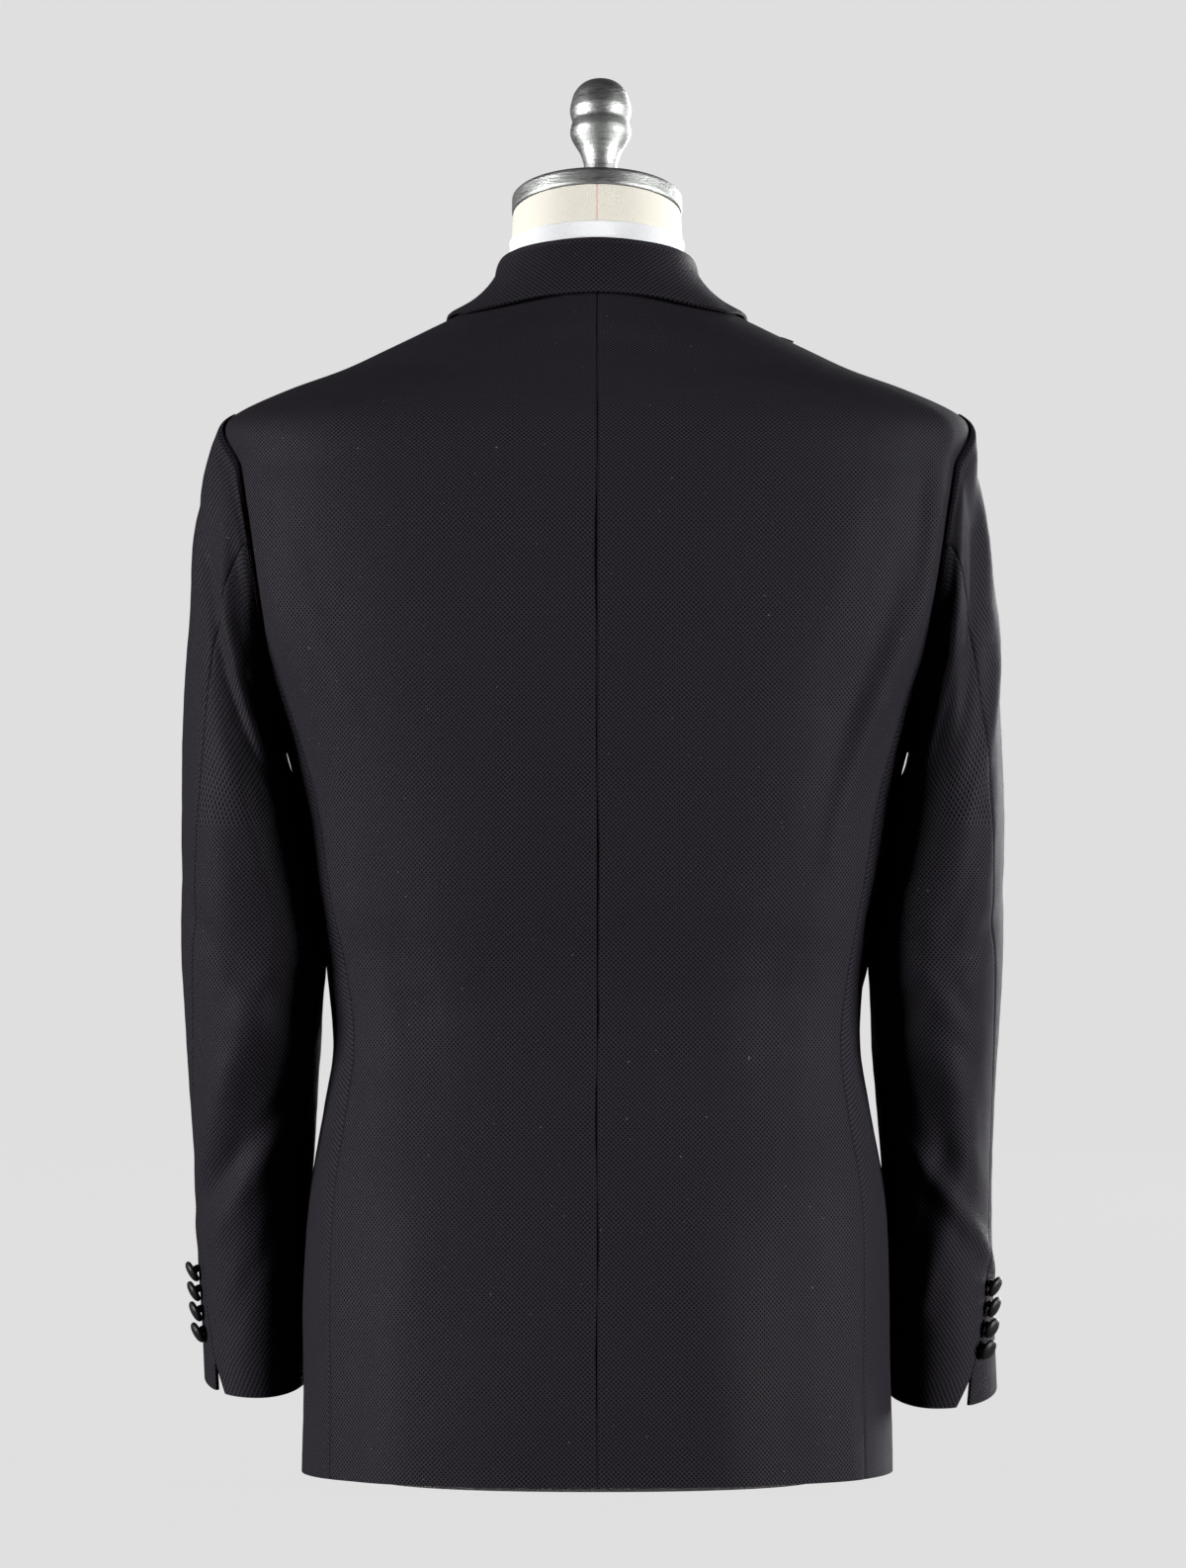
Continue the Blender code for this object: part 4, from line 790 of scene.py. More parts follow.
def sleeve_relief(side, degrees, along, z):
    """Large folds by place along the sleeve, fine creases by height, swells, and a roped head."""
    height = np.zeros(np.shape(degrees))
    for fold_side, at_angle, at_along, width, length, slant, depth in SLEEVE_FOLDS:
        if fold_side in (0, side):
            far = (along - at_along) / length
            turn = np.mod(degrees - at_angle - slant * far + 180, 360) - 180
            height = height + depth * np.exp(-(turn / width) ** 2 - far ** 2)
    for wrap in (0.0, 360.0):
        u = np.radians(degrees - wrap) * SLEEVE_RADIUS
        rows = [(np.radians(a) * SLEEVE_RADIUS, za, np.radians(b) * SLEEVE_RADIUS, zb, w, d)
                for a, za, b, zb, w, d in SLEEVE_CREASES[side]]
        height = height + crease(u, z, rows)
    turn = np.radians(degrees)
    calm = np.clip((2.02 - along) / 0.15, 0.2, 1.0)
    waves = swell(np.sin(turn) * 0.06, z + np.cos(turn) * 0.04, 0.0008, 2.0 * side)
    upper = np.abs(np.mod(degrees + 180, 360) - 180) < 100
    crown = np.clip(np.cos(turn * 0.9), 0, 1) ** 0.7 * upper
    ridge = 0.0010 * np.exp(-((along - 0.035) / 0.022) ** 2)
    hollow = 0.0007 * np.exp(-((along - 0.10) / 0.03) ** 2)
    handle = rub(degrees * 0.001, z, 0.00015, side)
    return height + calm * (waves + handle) + crown * (ridge - hollow)


print("Creases of the sleeves:", {side: len(rows) for side, rows in SLEEVE_CREASES.items()})

# %% [markdown]
# A real sleeve is sewn into the armhole with a little too much cloth, which is eased in until the
# head stands up round. Here one function of turn and place along the arm gives the whole
# outer face, so seams, buttons and creases all sit on the same surface.

# %% Outer face of a sleeve
def armhole_point(side, degrees):
    """Point of the armhole's edge and the body's outward direction there, folds left out."""
    turn = np.radians(degrees)
    reach = np.where(np.cos(turn) >= 0, ARMHOLE["rise"], ARMHOLE["drop"])
    depth = np.where(np.sin(turn) >= 0, ARMHOLE["back"], ARMHOLE["front"])
    z = ARMHOLE["z"] + reach * np.cos(turn)
    angle = angle_at_y(ARMHOLE["y"] + depth * np.sin(turn), z)
    normal = surface_normal(lambda a, h: ring_point(RINGS, a, h), angle, z)
    return body_surface(side, angle, z), normal * np.array((-side, -1, -1))


def sleeve_start(side, degrees):
    """Armhole point moved 1.3 mm towards the opening's middle, and the outward direction."""
    point, normal = armhole_point(side, degrees)
    inward = np.array((0, ARMHOLE["y"], ARMHOLE["z"])) - point
    inward[..., 0] = 0
    inward = unit(inward - normal * np.sum(inward * normal, axis=-1, keepdims=True))
    return point + inward * 0.0013, normal


def sleeve_ring(side, degrees, z):
    """Rounded ring between inner and outer x, raised towards the front."""
    turn = np.radians(degrees)
    inner, outer = column(SLEEVE_RINGS, 1)(z), column(SLEEVE_RINGS, 2)(z)
    power = 2.0 / column(SLEEVE_RINGS, 5)(z)
    x = 0.5 * (inner + outer) + 0.5 * (outer - inner) * signed_power(np.cos(turn), power)
    across = column(SLEEVE_RINGS, 4)(z) * signed_power(np.sin(turn), power)
    height = z + column(SLEEVE_RINGS, 6)(z) * (0.053 - across) - 0.003
    return np.stack((side * x, column(SLEEVE_RINGS, 3)(z) + across, height), axis=-1)


def sleeve_cap(side, degrees, t):
    """Cubic from the armhole to the biceps with chosen leaving and arriving directions."""
    start, normal = sleeve_start(side, degrees)
    start = start + normal * 0.0012
    end = sleeve_ring(side, degrees, np.full_like(degrees, BICEPS))
    reach = np.linalg.norm(end - start, axis=-1, keepdims=True)
    crown = np.clip(np.cos(np.radians(degrees)), 0, 1)[..., None] ** 1.5
    armpit = np.clip(-np.cos(np.radians(degrees)), 0, 1)[..., None]
    leave = np.array((side * 0.89, 0, -0.45)) * 0.080 * crown
    leave = leave + normal * (0.030 * (1 - crown) - 0.012 * armpit)
    leave = leave + np.array((0, 0, -0.020)) * (1 - crown) * (1 - armpit)
    arrive = np.array((0, 0, -1)) * reach
    t = t[..., None]
    ends = start * (1 + 2 * t) * (1 - t) ** 2 + end * t * t * (3 - 2 * t)
    return ends + leave * t * (1 - t) ** 2 - arrive * t * t * (1 - t)


def sleeve_outward(side, degrees):
    """Level direction away from the sleeve's middle line."""
    turn = np.radians(degrees)
    return np.stack((side * np.cos(turn), np.sin(turn), 0 * turn), axis=-1)


def sleeve_surface(side, degrees, along):
    """Start inside the armhole, cap, then tube, with the relief added outwards."""
    start, normal = sleeve_start(side, degrees)
    z = BICEPS + (CUFF - BICEPS) * np.clip(along - 1, 0, 1)
    cap = sleeve_cap(side, degrees, np.clip(along, 0, 1))
    points = np.where(along[..., None] <= 1, cap, sleeve_ring(side, degrees, z))
    fade = np.clip(along / 0.25, 0, 1) * np.clip((2 - along) / 0.1, 0.25, 1)
    head = np.clip(along / 0.02, 0, 1) * (along < 0.25) * (1 - np.clip(along / 0.25, 0, 1))
    relief = sleeve_relief(side, degrees, along, points[..., 2])
    height = (relief * np.maximum(fade, head * 0.6))[..., None]
    points = points + sleeve_outward(side, degrees) * height
    aside = np.clip(np.cos(np.radians(degrees)), 0, 1)
    points[..., 0] += side * column(HANG, 1 if side > 0 else 2)(along) * aside
    points[..., 2] += column(HANG, 3 if side > 0 else 4)(along)
    inside = start - normal * 0.002
    share = np.clip(-along / 0.012, 0, 1)[..., None]
    return points * (1 - share) + inside * share


def vent_spread(along):
    """Half opening of the vent in degrees, growing from its top to the cuff."""
    top = (BICEPS - VENT_TOP) / (BICEPS - CUFF) + 1
    return np.degrees(VENT_SPREAD) * np.clip((along - top) / (2 - top), 0, 1)


# %% [markdown]
# Each sleeve is two panels, a wide top sleeve and a narrower under sleeve. The hind seam runs down
# the back of the arm and opens in a short vent above the cuff.

# %% Sleeve panels
def sleeve_rows(count):
    """Rows close together at the armhole and the cuff."""
    share = np.linspace(0, 1, fine(count))
    places = np.array((-0.012, 0.004, 0.10, 0.90, 1.93, 2.0))
    return smooth(share, np.array((0.0, 0.03, 0.12, 0.45, 0.95, 1.0)), places)


def hind_seam(side, along):
    """Table value plus the cuff's twist times the squared share of the forearm."""
    forearm = np.clip((along - 1.4) / 0.6, 0, 1)
    return column(SLEEVE_SEAMS, 1)(along) + CUFF_TWIST[side] * forearm ** 2


def top_turn(side, along, share):
    """Share of the way from fore seam to hind seam."""
    fore = column(SLEEVE_SEAMS, 2)(along)
    return fore + share * (hind_seam(side, along) - vent_spread(along) - fore)


def under_turn(side, along, share):
    """Share of the way from hind seam round the inside to fore seam."""
    hind = hind_seam(side, along) + vent_spread(along)
    return hind + share * (column(SLEEVE_SEAMS, 2)(along) + 360 - hind)


for side, word in SIDES:
    for kind, turn_at, columns in (("top", top_turn, 66), ("under", under_turn, 56)):
        along = sleeve_rows(250)[:, None]
        degrees = turn_at(side, along, edge_shares(columns, 0.15))
        along = along + 0 * degrees
        piece, sewn = cloth_shell(f"{kind}_sleeve_{word}_cloth", sleeve_surface(side, degrees, along),
                                  sleeve_outward(side, degrees), CLOTH, gap=0.0002)
        finish_cloth(piece, sewn, f"{kind}_sleeve_{word}")

# %% [markdown]
# The collar is one folded strip: the fall shows, the roll line turns over, and the stand goes down
# inside against the neck. Three guide lines, each a short table, carry the strip round the neck.
# In front the fall lies on the shoulder, so its points are pushed up until they clear it.

# %% Collar guide lines
# columns: along (0 centre back, 1 gorge), x, y, z
FALL_EDGE = np.array((
    (0.00, 0.0000, 0.0752, 0.7168), (0.20, 0.0310, 0.0714, 0.7150), (0.40, 0.0600, 0.0592, 0.7102),
    (0.58, 0.0800, 0.0385, 0.7075), (0.74, 0.0885, 0.0060, 0.7065), (0.88, 0.0925, -0.0540, 0.6905),
    (1.00, 0.0950, -0.0975, 0.6530),
))
ROLL_LINE = np.array((
    (0.00, 0.0000, 0.0570, 0.7510), (0.20, 0.0280, 0.0510, 0.7490), (0.40, 0.0480, 0.0330, 0.7450),
    (0.58, 0.0575, 0.0060, 0.7390), (0.74, 0.0610, -0.0230, 0.7270), (0.88, 0.0625, -0.0570, 0.7080),
    (1.00, 0.0635, -0.0840, 0.6800),
))
STAND_FOOT = np.array((
    (0.00, 0.0000, 0.0640, 0.7168), (0.20, 0.0285, 0.0575, 0.7168), (0.40, 0.0480, 0.0405, 0.7168),
    (0.58, 0.0590, 0.0170, 0.7168), (0.74, 0.0612, -0.0140, 0.7140), (0.88, 0.0612, -0.0520, 0.7010),
    (1.00, 0.0615, -0.0805, 0.6760),
))
COLLAR_LIFT = 0.0038


def guide(line, along):
    """Point of a guide line, mirrored for the wearer's right so that the back has no kink."""
    whole = np.concatenate((line[:0:-1] * np.array((-1, -1, 1, 1)), line))
    return np.stack([smooth(along, whole[:, 0], whole[:, k]) for k in (1, 2, 3)], axis=-1)


def shoulder_height(x, y):
    """Height of the shoulder above (x, y), found by halving the range that holds it."""
    low, high = np.full_like(x, 0.600), np.full_like(x, NECKLINE)
    for _ in range(22):
        middle = 0.5 * (low + high)
        depth = np.where(y >= 0, column(RINGS, 2)(middle), column(RINGS, 3)(middle))
        power = column(RINGS, 4)(middle)
        inside = (np.abs(x) / column(RINGS, 1)(middle)) ** power + (np.abs(y) / depth) ** power < 1
        low, high = np.where(inside, middle, low), np.where(inside, high, middle)
    return low


def lift_clear(points, lift):
    """Push points along the shoulder's normal until they stand at least lift above it."""
    step = 0.0008
    for _ in range(3):
        x, y, z = (points[..., k] for k in range(3))
        height = shoulder_height(x, y)
        slope_x = (shoulder_height(x + step, y) - shoulder_height(x - step, y)) / (2 * step)
        slope_y = (shoulder_height(x, y + step) - shoulder_height(x, y - step)) / (2 * step)
        normal = np.stack((-slope_x, -slope_y, np.ones_like(x)), axis=-1)
        length = np.linalg.norm(normal, axis=-1)
        short = np.clip(lift - (z - height) / length, 0, 0.02)
        points = points + normal / length[..., None] * short[..., None]
    return points


print("Collar clears the shoulder by", COLLAR_LIFT, "m")

# %% [markdown]
# With the guides in hand, the strip goes from the fall's edge over the roll to the foot of the stand.
# A few rounds of averaging stand for the steam that presses the roll soft.

# %% Collar
def collar_surface(across, along):
    """Straight from fall edge to roll with a bulge, then straight down the stand, roll rounded."""
    front = np.abs(along)[..., None] > 0.5
    edge, roll, foot = (guide(line, along) for line in (FALL_EDGE, ROLL_LINE, STAND_FOOT))
    roll = np.where(front, lift_clear(roll, COLLAR_LIFT), roll)
    t = np.clip(across, 0, 1)[..., None]
    s = np.clip(across - 1, 0, 1)[..., None]
    aside = np.clip((np.sqrt(along ** 2 + 0.07 ** 2) - 0.07) / 0.53, 0, 1)[..., None]
    swelling = 0.14 - 0.30 * aside
    bulge = (edge - foot) * np.array((1, 1, 0)) * swelling
    fall = edge + (roll - edge) * t + bulge * 4 * t * (1 - t)
    fall = np.where(front, lift_clear(fall, COLLAR_LIFT), fall)
    wave = swell(along * 0.25, across * 0.04, 0.0009, 0.5) * np.sin(np.pi * np.clip(across, 0, 1))
    outward = unit((edge - foot) * np.array((1, 1, 0.3))) * wave[..., None]
    return np.where(across[..., None] <= 1, fall + outward, roll - (roll - foot) * s)


def rounded_fold(points, passes):
    """Average each row with its neighbours a few times, so that the roll has no edge."""
    for _ in range(passes):
        points[:, 1:-1] = 0.25 * points[:, :-2] + 0.5 * points[:, 1:-1] + 0.25 * points[:, 2:]
    return points


along = np.linspace(-1, 1, fine(260))[:, None]
STRETCHES = ((0.0, 0.86, 24), (0.89, 1.11, 14), (1.16, 2.0, 14))   # fall, fold and stand
across = np.concatenate([np.linspace(low, high, fine(count)) for low, high, count in STRETCHES])
strip = rounded_fold(collar_surface(across + 0 * along, along + 0 * across), 5)
showing = np.where(across < 1.0, 1, 0)[None, :, None]
out = guide(FALL_EDGE, along + 0 * across) * np.array((1, 1, 0)) * showing
piece, sewn = cloth_shell("collar_cloth", strip, out, CLOTH, wall=0.0018, dip=0.0005, seams=(0, 0))
finish_cloth(piece, sewn, "collar")

# %% [markdown]
# The lapel is a satin-faced flap with a pointed tip. It is drawn flat, between the roll line, the
# outer edge and the gorge, and then laid on the front: the flat point gives the place on
# the body, and a lift keeps it clear and lets it belly a little in the middle.

# %% Lapels
# columns: x on the wearer's left, height
LAPEL_ROLL = np.array((
    (-0.0150, 0.2900), (0.0070, 0.3900), (0.0330, 0.5100), (0.0570, 0.6250), (0.0665, 0.6690),
))
OUTER = ((-0.0120, 0.2900), (0.0420, 0.3900), (0.0880, 0.5100), (0.1170, 0.6060))
GORGE = ((0.0665, 0.6690), (0.0800, 0.6575), (0.0940, 0.6445))
LAPEL_EDGE = {1: np.array((*OUTER, (0.1220, 0.6800))), -1: np.array((*OUTER, (0.1180, 0.6875)))}
LAPEL_TOP = {
    1: np.array((*GORGE, (0.1090, 0.6625), (0.1220, 0.6800))),
    -1: np.array((*GORGE, (0.1010, 0.6690), (0.1060, 0.6890), (0.1180, 0.6875))),
}
POINT_LIFT = 0.0016                          # the right lapel's point shows over the shoulder


def chart(line, t):
    """Point of a flat outline at a share of its length in points."""
    steps = np.linspace(0, 1, len(line))
    return np.stack((smooth(t, steps, line[:, 0]), smooth(t, steps, line[:, 1])), axis=-1)


def lapel_flat(side, across, along):
    """Blend of the two long edges, bent to the gorge near the top by the sixth power of along."""
    a, b = across[..., None], along[..., None]
    sides = chart(LAPEL_ROLL, along) * (1 - a) + chart(LAPEL_EDGE[side], along) * a
    corner = LAPEL_ROLL[-1] * (1 - a) + LAPEL_EDGE[side][-1] * a
    return sides + (chart(LAPEL_TOP[side], across) - corner) * b ** 6


for side, word in SIDES:
    along = np.linspace(0, 1, fine(150))[:, None]
    across = np.linspace(0, 1, fine(36))[None, :]
    flat = lapel_flat(side, across + 0 * along, along + 0 * across)
    tip = across ** 2 * along ** 5 * (side < 0)
    angle = front_angle_at_x(flat[..., 0], flat[..., 1])
    belly = 0.0026 * np.sin(np.pi * across) * along + 0.0014 * across ** 2 * along ** 8
    lift = lap(side, angle) + FACING + 4.5 * SEAM + belly + POINT_LIFT * tip
    points = lifted(side, angle, flat[..., 1], lift)
    piece, sewn = cloth_shell(f"lapel_{word}_satin", points, outward_of(side, angle), SATIN,
                              wall=FACING, dip=0.0004, seams=(0, 0))
    widest = float(np.linalg.norm(sewn[:, -1] - sewn[:, 0], axis=-1).max())
    finish_cloth(piece, sewn, f"lapel_{word}",
                 round(widest, 3))

# %% [markdown]
# The buttons are metal domes covered in satin. Turning a profile gives the dome; a second, small
# wave round the rim stands for the gathers where the cover is drawn under. The same turning
# makes the cap plate and the knob, so it is written once, with closed ends.

# %% Turned pieces
def turned_piece(name, rings, uv, material, sharp_degrees=42.0):
    """Quads between closed rings of points, and a fan of triangles round the middle of each end."""
    levels, steps = rings.shape[:2]
    ends = np.stack((rings[0].mean(axis=0), rings[-1].mean(axis=0)))
    vertices = np.concatenate((rings.reshape(-1, 3), ends)) + SHIFT
    index = np.arange(levels * steps).reshape(levels, steps)
    index = np.concatenate((index, index[:, :1]), axis=1)
    faces = quads(index)
    uv_faces = quads(np.arange(levels * (steps + 1)).reshape(levels, steps + 1))
    low, high = index[0], index[-1]
    foot = np.stack((np.full(steps, levels * steps), low[1:], low[:-1]), axis=-1)
    top = np.stack((np.full(steps, levels * steps + 1), high[:-1], high[1:]), axis=-1)
    fans = np.concatenate((foot, top))
    if closed_volume(vertices, faces) < 0:
        faces, uv_faces, fans = faces[:, ::-1], uv_faces[:, ::-1], fans[:, ::-1]
    mapped = uv.reshape(-1, 2)[uv_faces]
    return mesh_object(name, vertices, faces, mapped, material, fans, sharp_degrees)


def frame_on(axis):
    """Two level directions square to an axis, so that first, second and axis are right-handed."""
    axis = unit(np.array(axis, dtype=float))
    upright = abs(axis[2]) >= 0.9
    first = unit(np.cross((0.0, 1.0, 0.0), axis) if upright else np.cross(axis, (0.0, 0.0, 1.0)))
    return first, np.cross(axis, first), axis


def circle_about(first, second, turn):
    """Points of the unit circle in the plane of two directions."""
    return first * np.cos(turn)[:, None] + second * np.sin(turn)[:, None]


def spread_profile(profile, count):
    """Points spread evenly by length along straight lines between the rows of a profile."""
    profile = np.array(profile)
    length = np.concatenate(((0.0,), np.cumsum(np.linalg.norm(np.diff(profile, axis=0), axis=1))))
    place = np.unique(np.concatenate((np.linspace(0, length[-1], count), length)))
    return np.stack([np.interp(place, length, profile[:, k]) for k in (0, 1)], axis=-1), place


def turn_profile(name, profile, centre, axis, material, steps, wave=None, sharp_degrees=42.0,
                 foot=None):
    """Turn (radius, height) rows about an axis; wave scales the radius, foot is the lowest axis."""
    rows, place = spread_profile(profile, 60)
    radius, height = rows.T
    turn = np.arange(steps + 1) * 2 * np.pi / steps
    first, second, axis = frame_on(axis)
    scale = wave(turn[None, :], height[:, None]) if wave else np.ones((len(radius), steps + 1))
    reach = np.maximum(radius, 1e-5)[:, None] * scale
    rings = reach[..., None] * circle_about(first, second, turn) + height[:, None, None] * axis
    uv = np.stack((turn * radius.max() + 0 * reach, place[:, None] + 0 * reach), axis=-1)
    if foot is not None:
        first, second, level = frame_on(foot)
        circle = circle_about(first, second, turn)
        standing = reach[..., None] * circle + height[:, None, None] * level
        share = np.clip(height / 0.0024, 0, 1)[:, None, None]
        rings = rings * share + standing * (1 - share)
        uv = np.stack((reach * np.cos(turn), reach * np.sin(turn)), axis=-1)
    rings = rings + np.array(centre)
    return turned_piece(name, rings[:, :-1], uv, material, sharp_degrees)


# %% [markdown]
# Four buttons stand in a row beside each cuff vent, closer than their own width. Each one leans on
# its shank so that its upper edge lies over the button above, like tiles. They start from the
# sleeve's own surface, so they follow it when a fold moves.

# %% Covered buttons
# columns: share of the radius, height above the cloth
DOME = (
    (0.001, 0.0001), (0.34, 0.0001), (0.36, 0.0011), (0.62, 0.0012), (0.84, 0.0013), (0.94, 0.0017),
    (0.985, 0.0023), (1.00, 0.0029), (0.98, 0.0035), (0.93, 0.0040), (0.84, 0.0045), (0.70, 0.0050),
    (0.52, 0.0053), (0.32, 0.0055), (0.14, 0.0056), (0.001, 0.0056),
)


def gathers(turn, height):
    """One plus a small cosine round the rim that fades above and below it."""
    return 1 + 0.010 * np.cos(18 * turn) * np.exp(-((height - 0.0030) / 0.0012) ** 2)


def covered_button(node, centre, normal, radius, shank=0.0, lean=0.0):
    """Button whose foot lies on the cloth and whose dome leans downwards, on a longer shank."""
    profile = [(share * radius, height + shank * (height > 0.0005)) for share, height in DOME]
    axis = normal * np.cos(lean) + np.cross(normal, frame_on(normal)[0]) * np.sin(lean)
    piece = turn_profile(f"{node}_cover", profile, centre, axis, SATIN, 54, wave=gathers,
                         sharp_degrees=60.0, foot=normal)
    finish_solid(piece, node)


BUTTON_SHARE = {1: 1 - 0.9 / 11, -1: 1 - 0.32 / 11}   # of the top sleeve's width, to the row
BUTTON_RADIUS, LEAN = 0.0068, np.radians(24.0)
for side, word in SIDES:
    for number in range(4):
        along = 1 + (BICEPS - 0.116 + number * 0.0120) / (BICEPS - CUFF)
        place = np.array((along, along - 0.004, along + 0.004, along, along))
        degrees = top_turn(side, place, BUTTON_SHARE[side]) + np.array((0.0, 0.0, 0.0, -1.0, 1.0))
        here, above, below, before, behind = sleeve_surface(side, degrees, place)
        normal = unit(np.cross(behind - before, above - below)) * side
        covered_button(f"cuff_button_{word}_{number + 1}", here + normal * 0.0004, normal,
                       BUTTON_RADIUS, 0.0015, LEAN)
print("Button stands", normal.round(2), "from the cloth at", here.round(4))

angle, z = np.array((np.pi,)), np.array((0.266,))
inner, outer, seat = (lifted(1, angle, z, lift)[0] for lift in (0.0, 0.01, FRONT_LAP + SEAM))
covered_button("front_button", seat, unit(outer - inner), 0.0105)

# %% [markdown]
# The dress form is not part of the jacket but holds it up. Its torso wears a white knitted cover,
# smooth and a little smaller than the jacket, with a rolled hem at the neck. A linen
# neck rises from it with a seam at the back, sewn in a pinkish thread.

# %% Shader groups for knitting and casting
def knit_group():
    """Columns of V shapes: a slanted wave that changes direction at each column's middle."""
    group, given, put = node_group("knitted_rows", ["Height", "Shade"], 0.0011)
    u, v = in_pitches(group, given)
    wing = maths(group, "ABSOLUTE", maths(group, "SUBTRACT", maths(group, "FRACT", u), 0.5))
    climb = maths(group, "ADD", v, maths(group, "MULTIPLY", wing, 1.2))
    loop = maths(group, "SINE", maths(group, "MULTIPLY", climb, 2 * np.pi))
    rib = maths(group, "COSINE", maths(group, "MULTIPLY", u, 2 * np.pi))
    height = maths(group, "MULTIPLY_ADD", loop, 0.5, maths(group, "MULTIPLY", rib, -0.8))
    set_inputs(put, Height=height, Shade=band(group, height, -1.3, 0.6))
    return group


def casting_group():
    """Cast skin: fine grain, small pits and wide smudges left by hands."""
    group, given, put = node_group("cast_skin", ["Grain", "Pits", "Smudge", "Brushed"])
    vector = given["Vector"]
    stretch = group.nodes.new("ShaderNodeVectorMath")
    stretch.operation = "MULTIPLY"
    stretch.inputs[1].default_value = (120.0, 120.0, 1500.0)
    group.links.new(vector, stretch.inputs[0])
    set_inputs(put, Brushed=noise(group, stretch.outputs[0], 1.0, 3.0, 0.6),
               Grain=noise(group, vector, 900.0, 5.0, 0.6),
               Pits=band(group, noise(group, vector, 260.0, 2.0, 0.5), 0.66, 0.80),
               Smudge=band(group, noise(group, vector, 34.0, 4.0, 0.6), 0.35, 0.70))
    return group


KNIT, CASTING = knit_group(), casting_group()
print("Shader groups:", [g.name for g in bpy.data.node_groups])

# %% [markdown]
# The pale pieces give the black cloth its scale. The knit and the linen are too fine to model, so
# both are heights for a bump and a small change of shade. The metal is dull where it was handled.

# %% Materials of the form
def white_jersey():
    """Knitted cotton: the hollows between the loops are a little darker."""
    material, tree, shader = new_material("white_jersey_finish")
    knit = use_group(tree, KNIT, coordinates(tree, "UV"), Pitch=0.0011)
    sheen_and_wear_marks = use_group(tree, SHEEN_AND_WEAR, coordinates(tree, "Object"))
    clean = mix_colour(tree, knit["Shade"], (0.76, 0.77, 0.79), (0.86, 0.87, 0.89))
    grime = maths(tree, "MULTIPLY", sheen_and_wear_marks["Patches"], 0.15)
    worn = mix_colour(tree, grime, clean, (0.80, 0.79, 0.77))
    set_inputs(shader, Base_Color=worn, Roughness=0.92, Sheen_Weight=0.15, Sheen_Roughness=0.5)
    bump(tree, knit["Height"], 0.00012, 0.7, shader)
    return material


def cream_linen():
    """Plain weave with slubs, painted shade in the groove of the back seam, and a line of pink
    stitches up it.
    """
    material, tree, shader = new_material("cream_linen_finish")
    uv = coordinates(tree, "UV")
    threads = use_group(tree, THREADS, uv, Pitch=0.0008)
    split, place = (tree.nodes.new("ShaderNodeSeparateXYZ") for _ in range(2))
    tree.links.new(uv, split.inputs[0])
    tree.links.new(coordinates(tree, "Object"), place.inputs[0])
    aside = maths(tree, "ABSOLUTE", maths(tree, "SUBTRACT", place.outputs[0], float(SHIFT[0])))
    off_seam = maths(tree, "ADD", aside, maths(tree, "LESS_THAN", place.outputs[1], 0.0))
    groove = maths(tree, "SUBTRACT", 1.0, band(tree, off_seam, 0.0003, 0.0012))
    dash = maths(tree, "FRACT", maths(tree, "DIVIDE", split.outputs[1], STITCH_LENGTH))
    on_line = maths(tree, "SUBTRACT", 1.0, band(tree, off_seam, 0.0003, 0.0006))
    stitch = maths(tree, "MULTIPLY", band(tree, dash, 0.22, 0.34), on_line)
    weave = mix_colour(tree, threads["Shade"], (0.55, 0.52, 0.45), (0.72, 0.69, 0.61))
    # Painted shade: the colour darkens in the groove along the back seam.
    seam_shaded = mix_colour(tree, maths(tree, "MULTIPLY", groove, 0.6), weave, (0.50, 0.42, 0.34))
    stitched = mix_colour(tree, stitch, seam_shaded, (0.62, 0.42, 0.36))
    set_inputs(shader, Base_Color=stitched, Roughness=0.88, Sheen_Weight=0.12, Sheen_Roughness=0.5)
    height = maths(tree, "ADD", threads["Height"], maths(tree, "MULTIPLY", stitch, 2.5))
    height = maths(tree, "SUBTRACT", height, maths(tree, "MULTIPLY", groove, 2.0))
    bump(tree, height, 0.00014, 0.8, shader)
    return material


def cast_aluminium():
    """Metal with a grainy skin, dull in the smudges and darker in the pits."""
    material, tree, shader = new_material("cast_aluminium_finish")
    skin = use_group(tree, CASTING, coordinates(tree, "Object"))
    clean = mix_colour(tree, skin["Smudge"], (0.50, 0.51, 0.50), (0.28, 0.29, 0.28))
    streaked = mix_colour(tree, band(tree, skin["Brushed"], 0.42, 0.70), clean, (0.22, 0.225, 0.22))
    pitted = mix_colour(tree, skin["Pits"], streaked, (0.14, 0.14, 0.14))
    smudged = maths(tree, "MULTIPLY_ADD", skin["Smudge"], 0.16, 0.36)
    rough = maths(tree, "MULTIPLY_ADD", skin["Grain"], 0.10, smudged)
    set_inputs(shader, Base_Color=pitted, Roughness=rough, Metallic=1.0)
    height = maths(tree, "SUBTRACT", maths(tree, "ADD", skin["Grain"], skin["Brushed"]), skin["Pits"])
    bump(tree, height, 0.00030, 0.5, shader)
    return material


STITCH_LENGTH = 0.0032                       # one pink stitch and the space after it
JERSEY, LINEN, METAL = white_jersey(), cream_linen(), cast_aluminium()
print("Form materials:", JERSEY.name, LINEN.name, METAL.name)

# %% [markdown]
# The torso is a stack of rings again, a little smaller than the jacket's, and so clear of the
# cloth everywhere. Its top edge leans with the neck. The neck is a second, closed piece
# that stands on it, because linen and cotton meet there in a clean line.

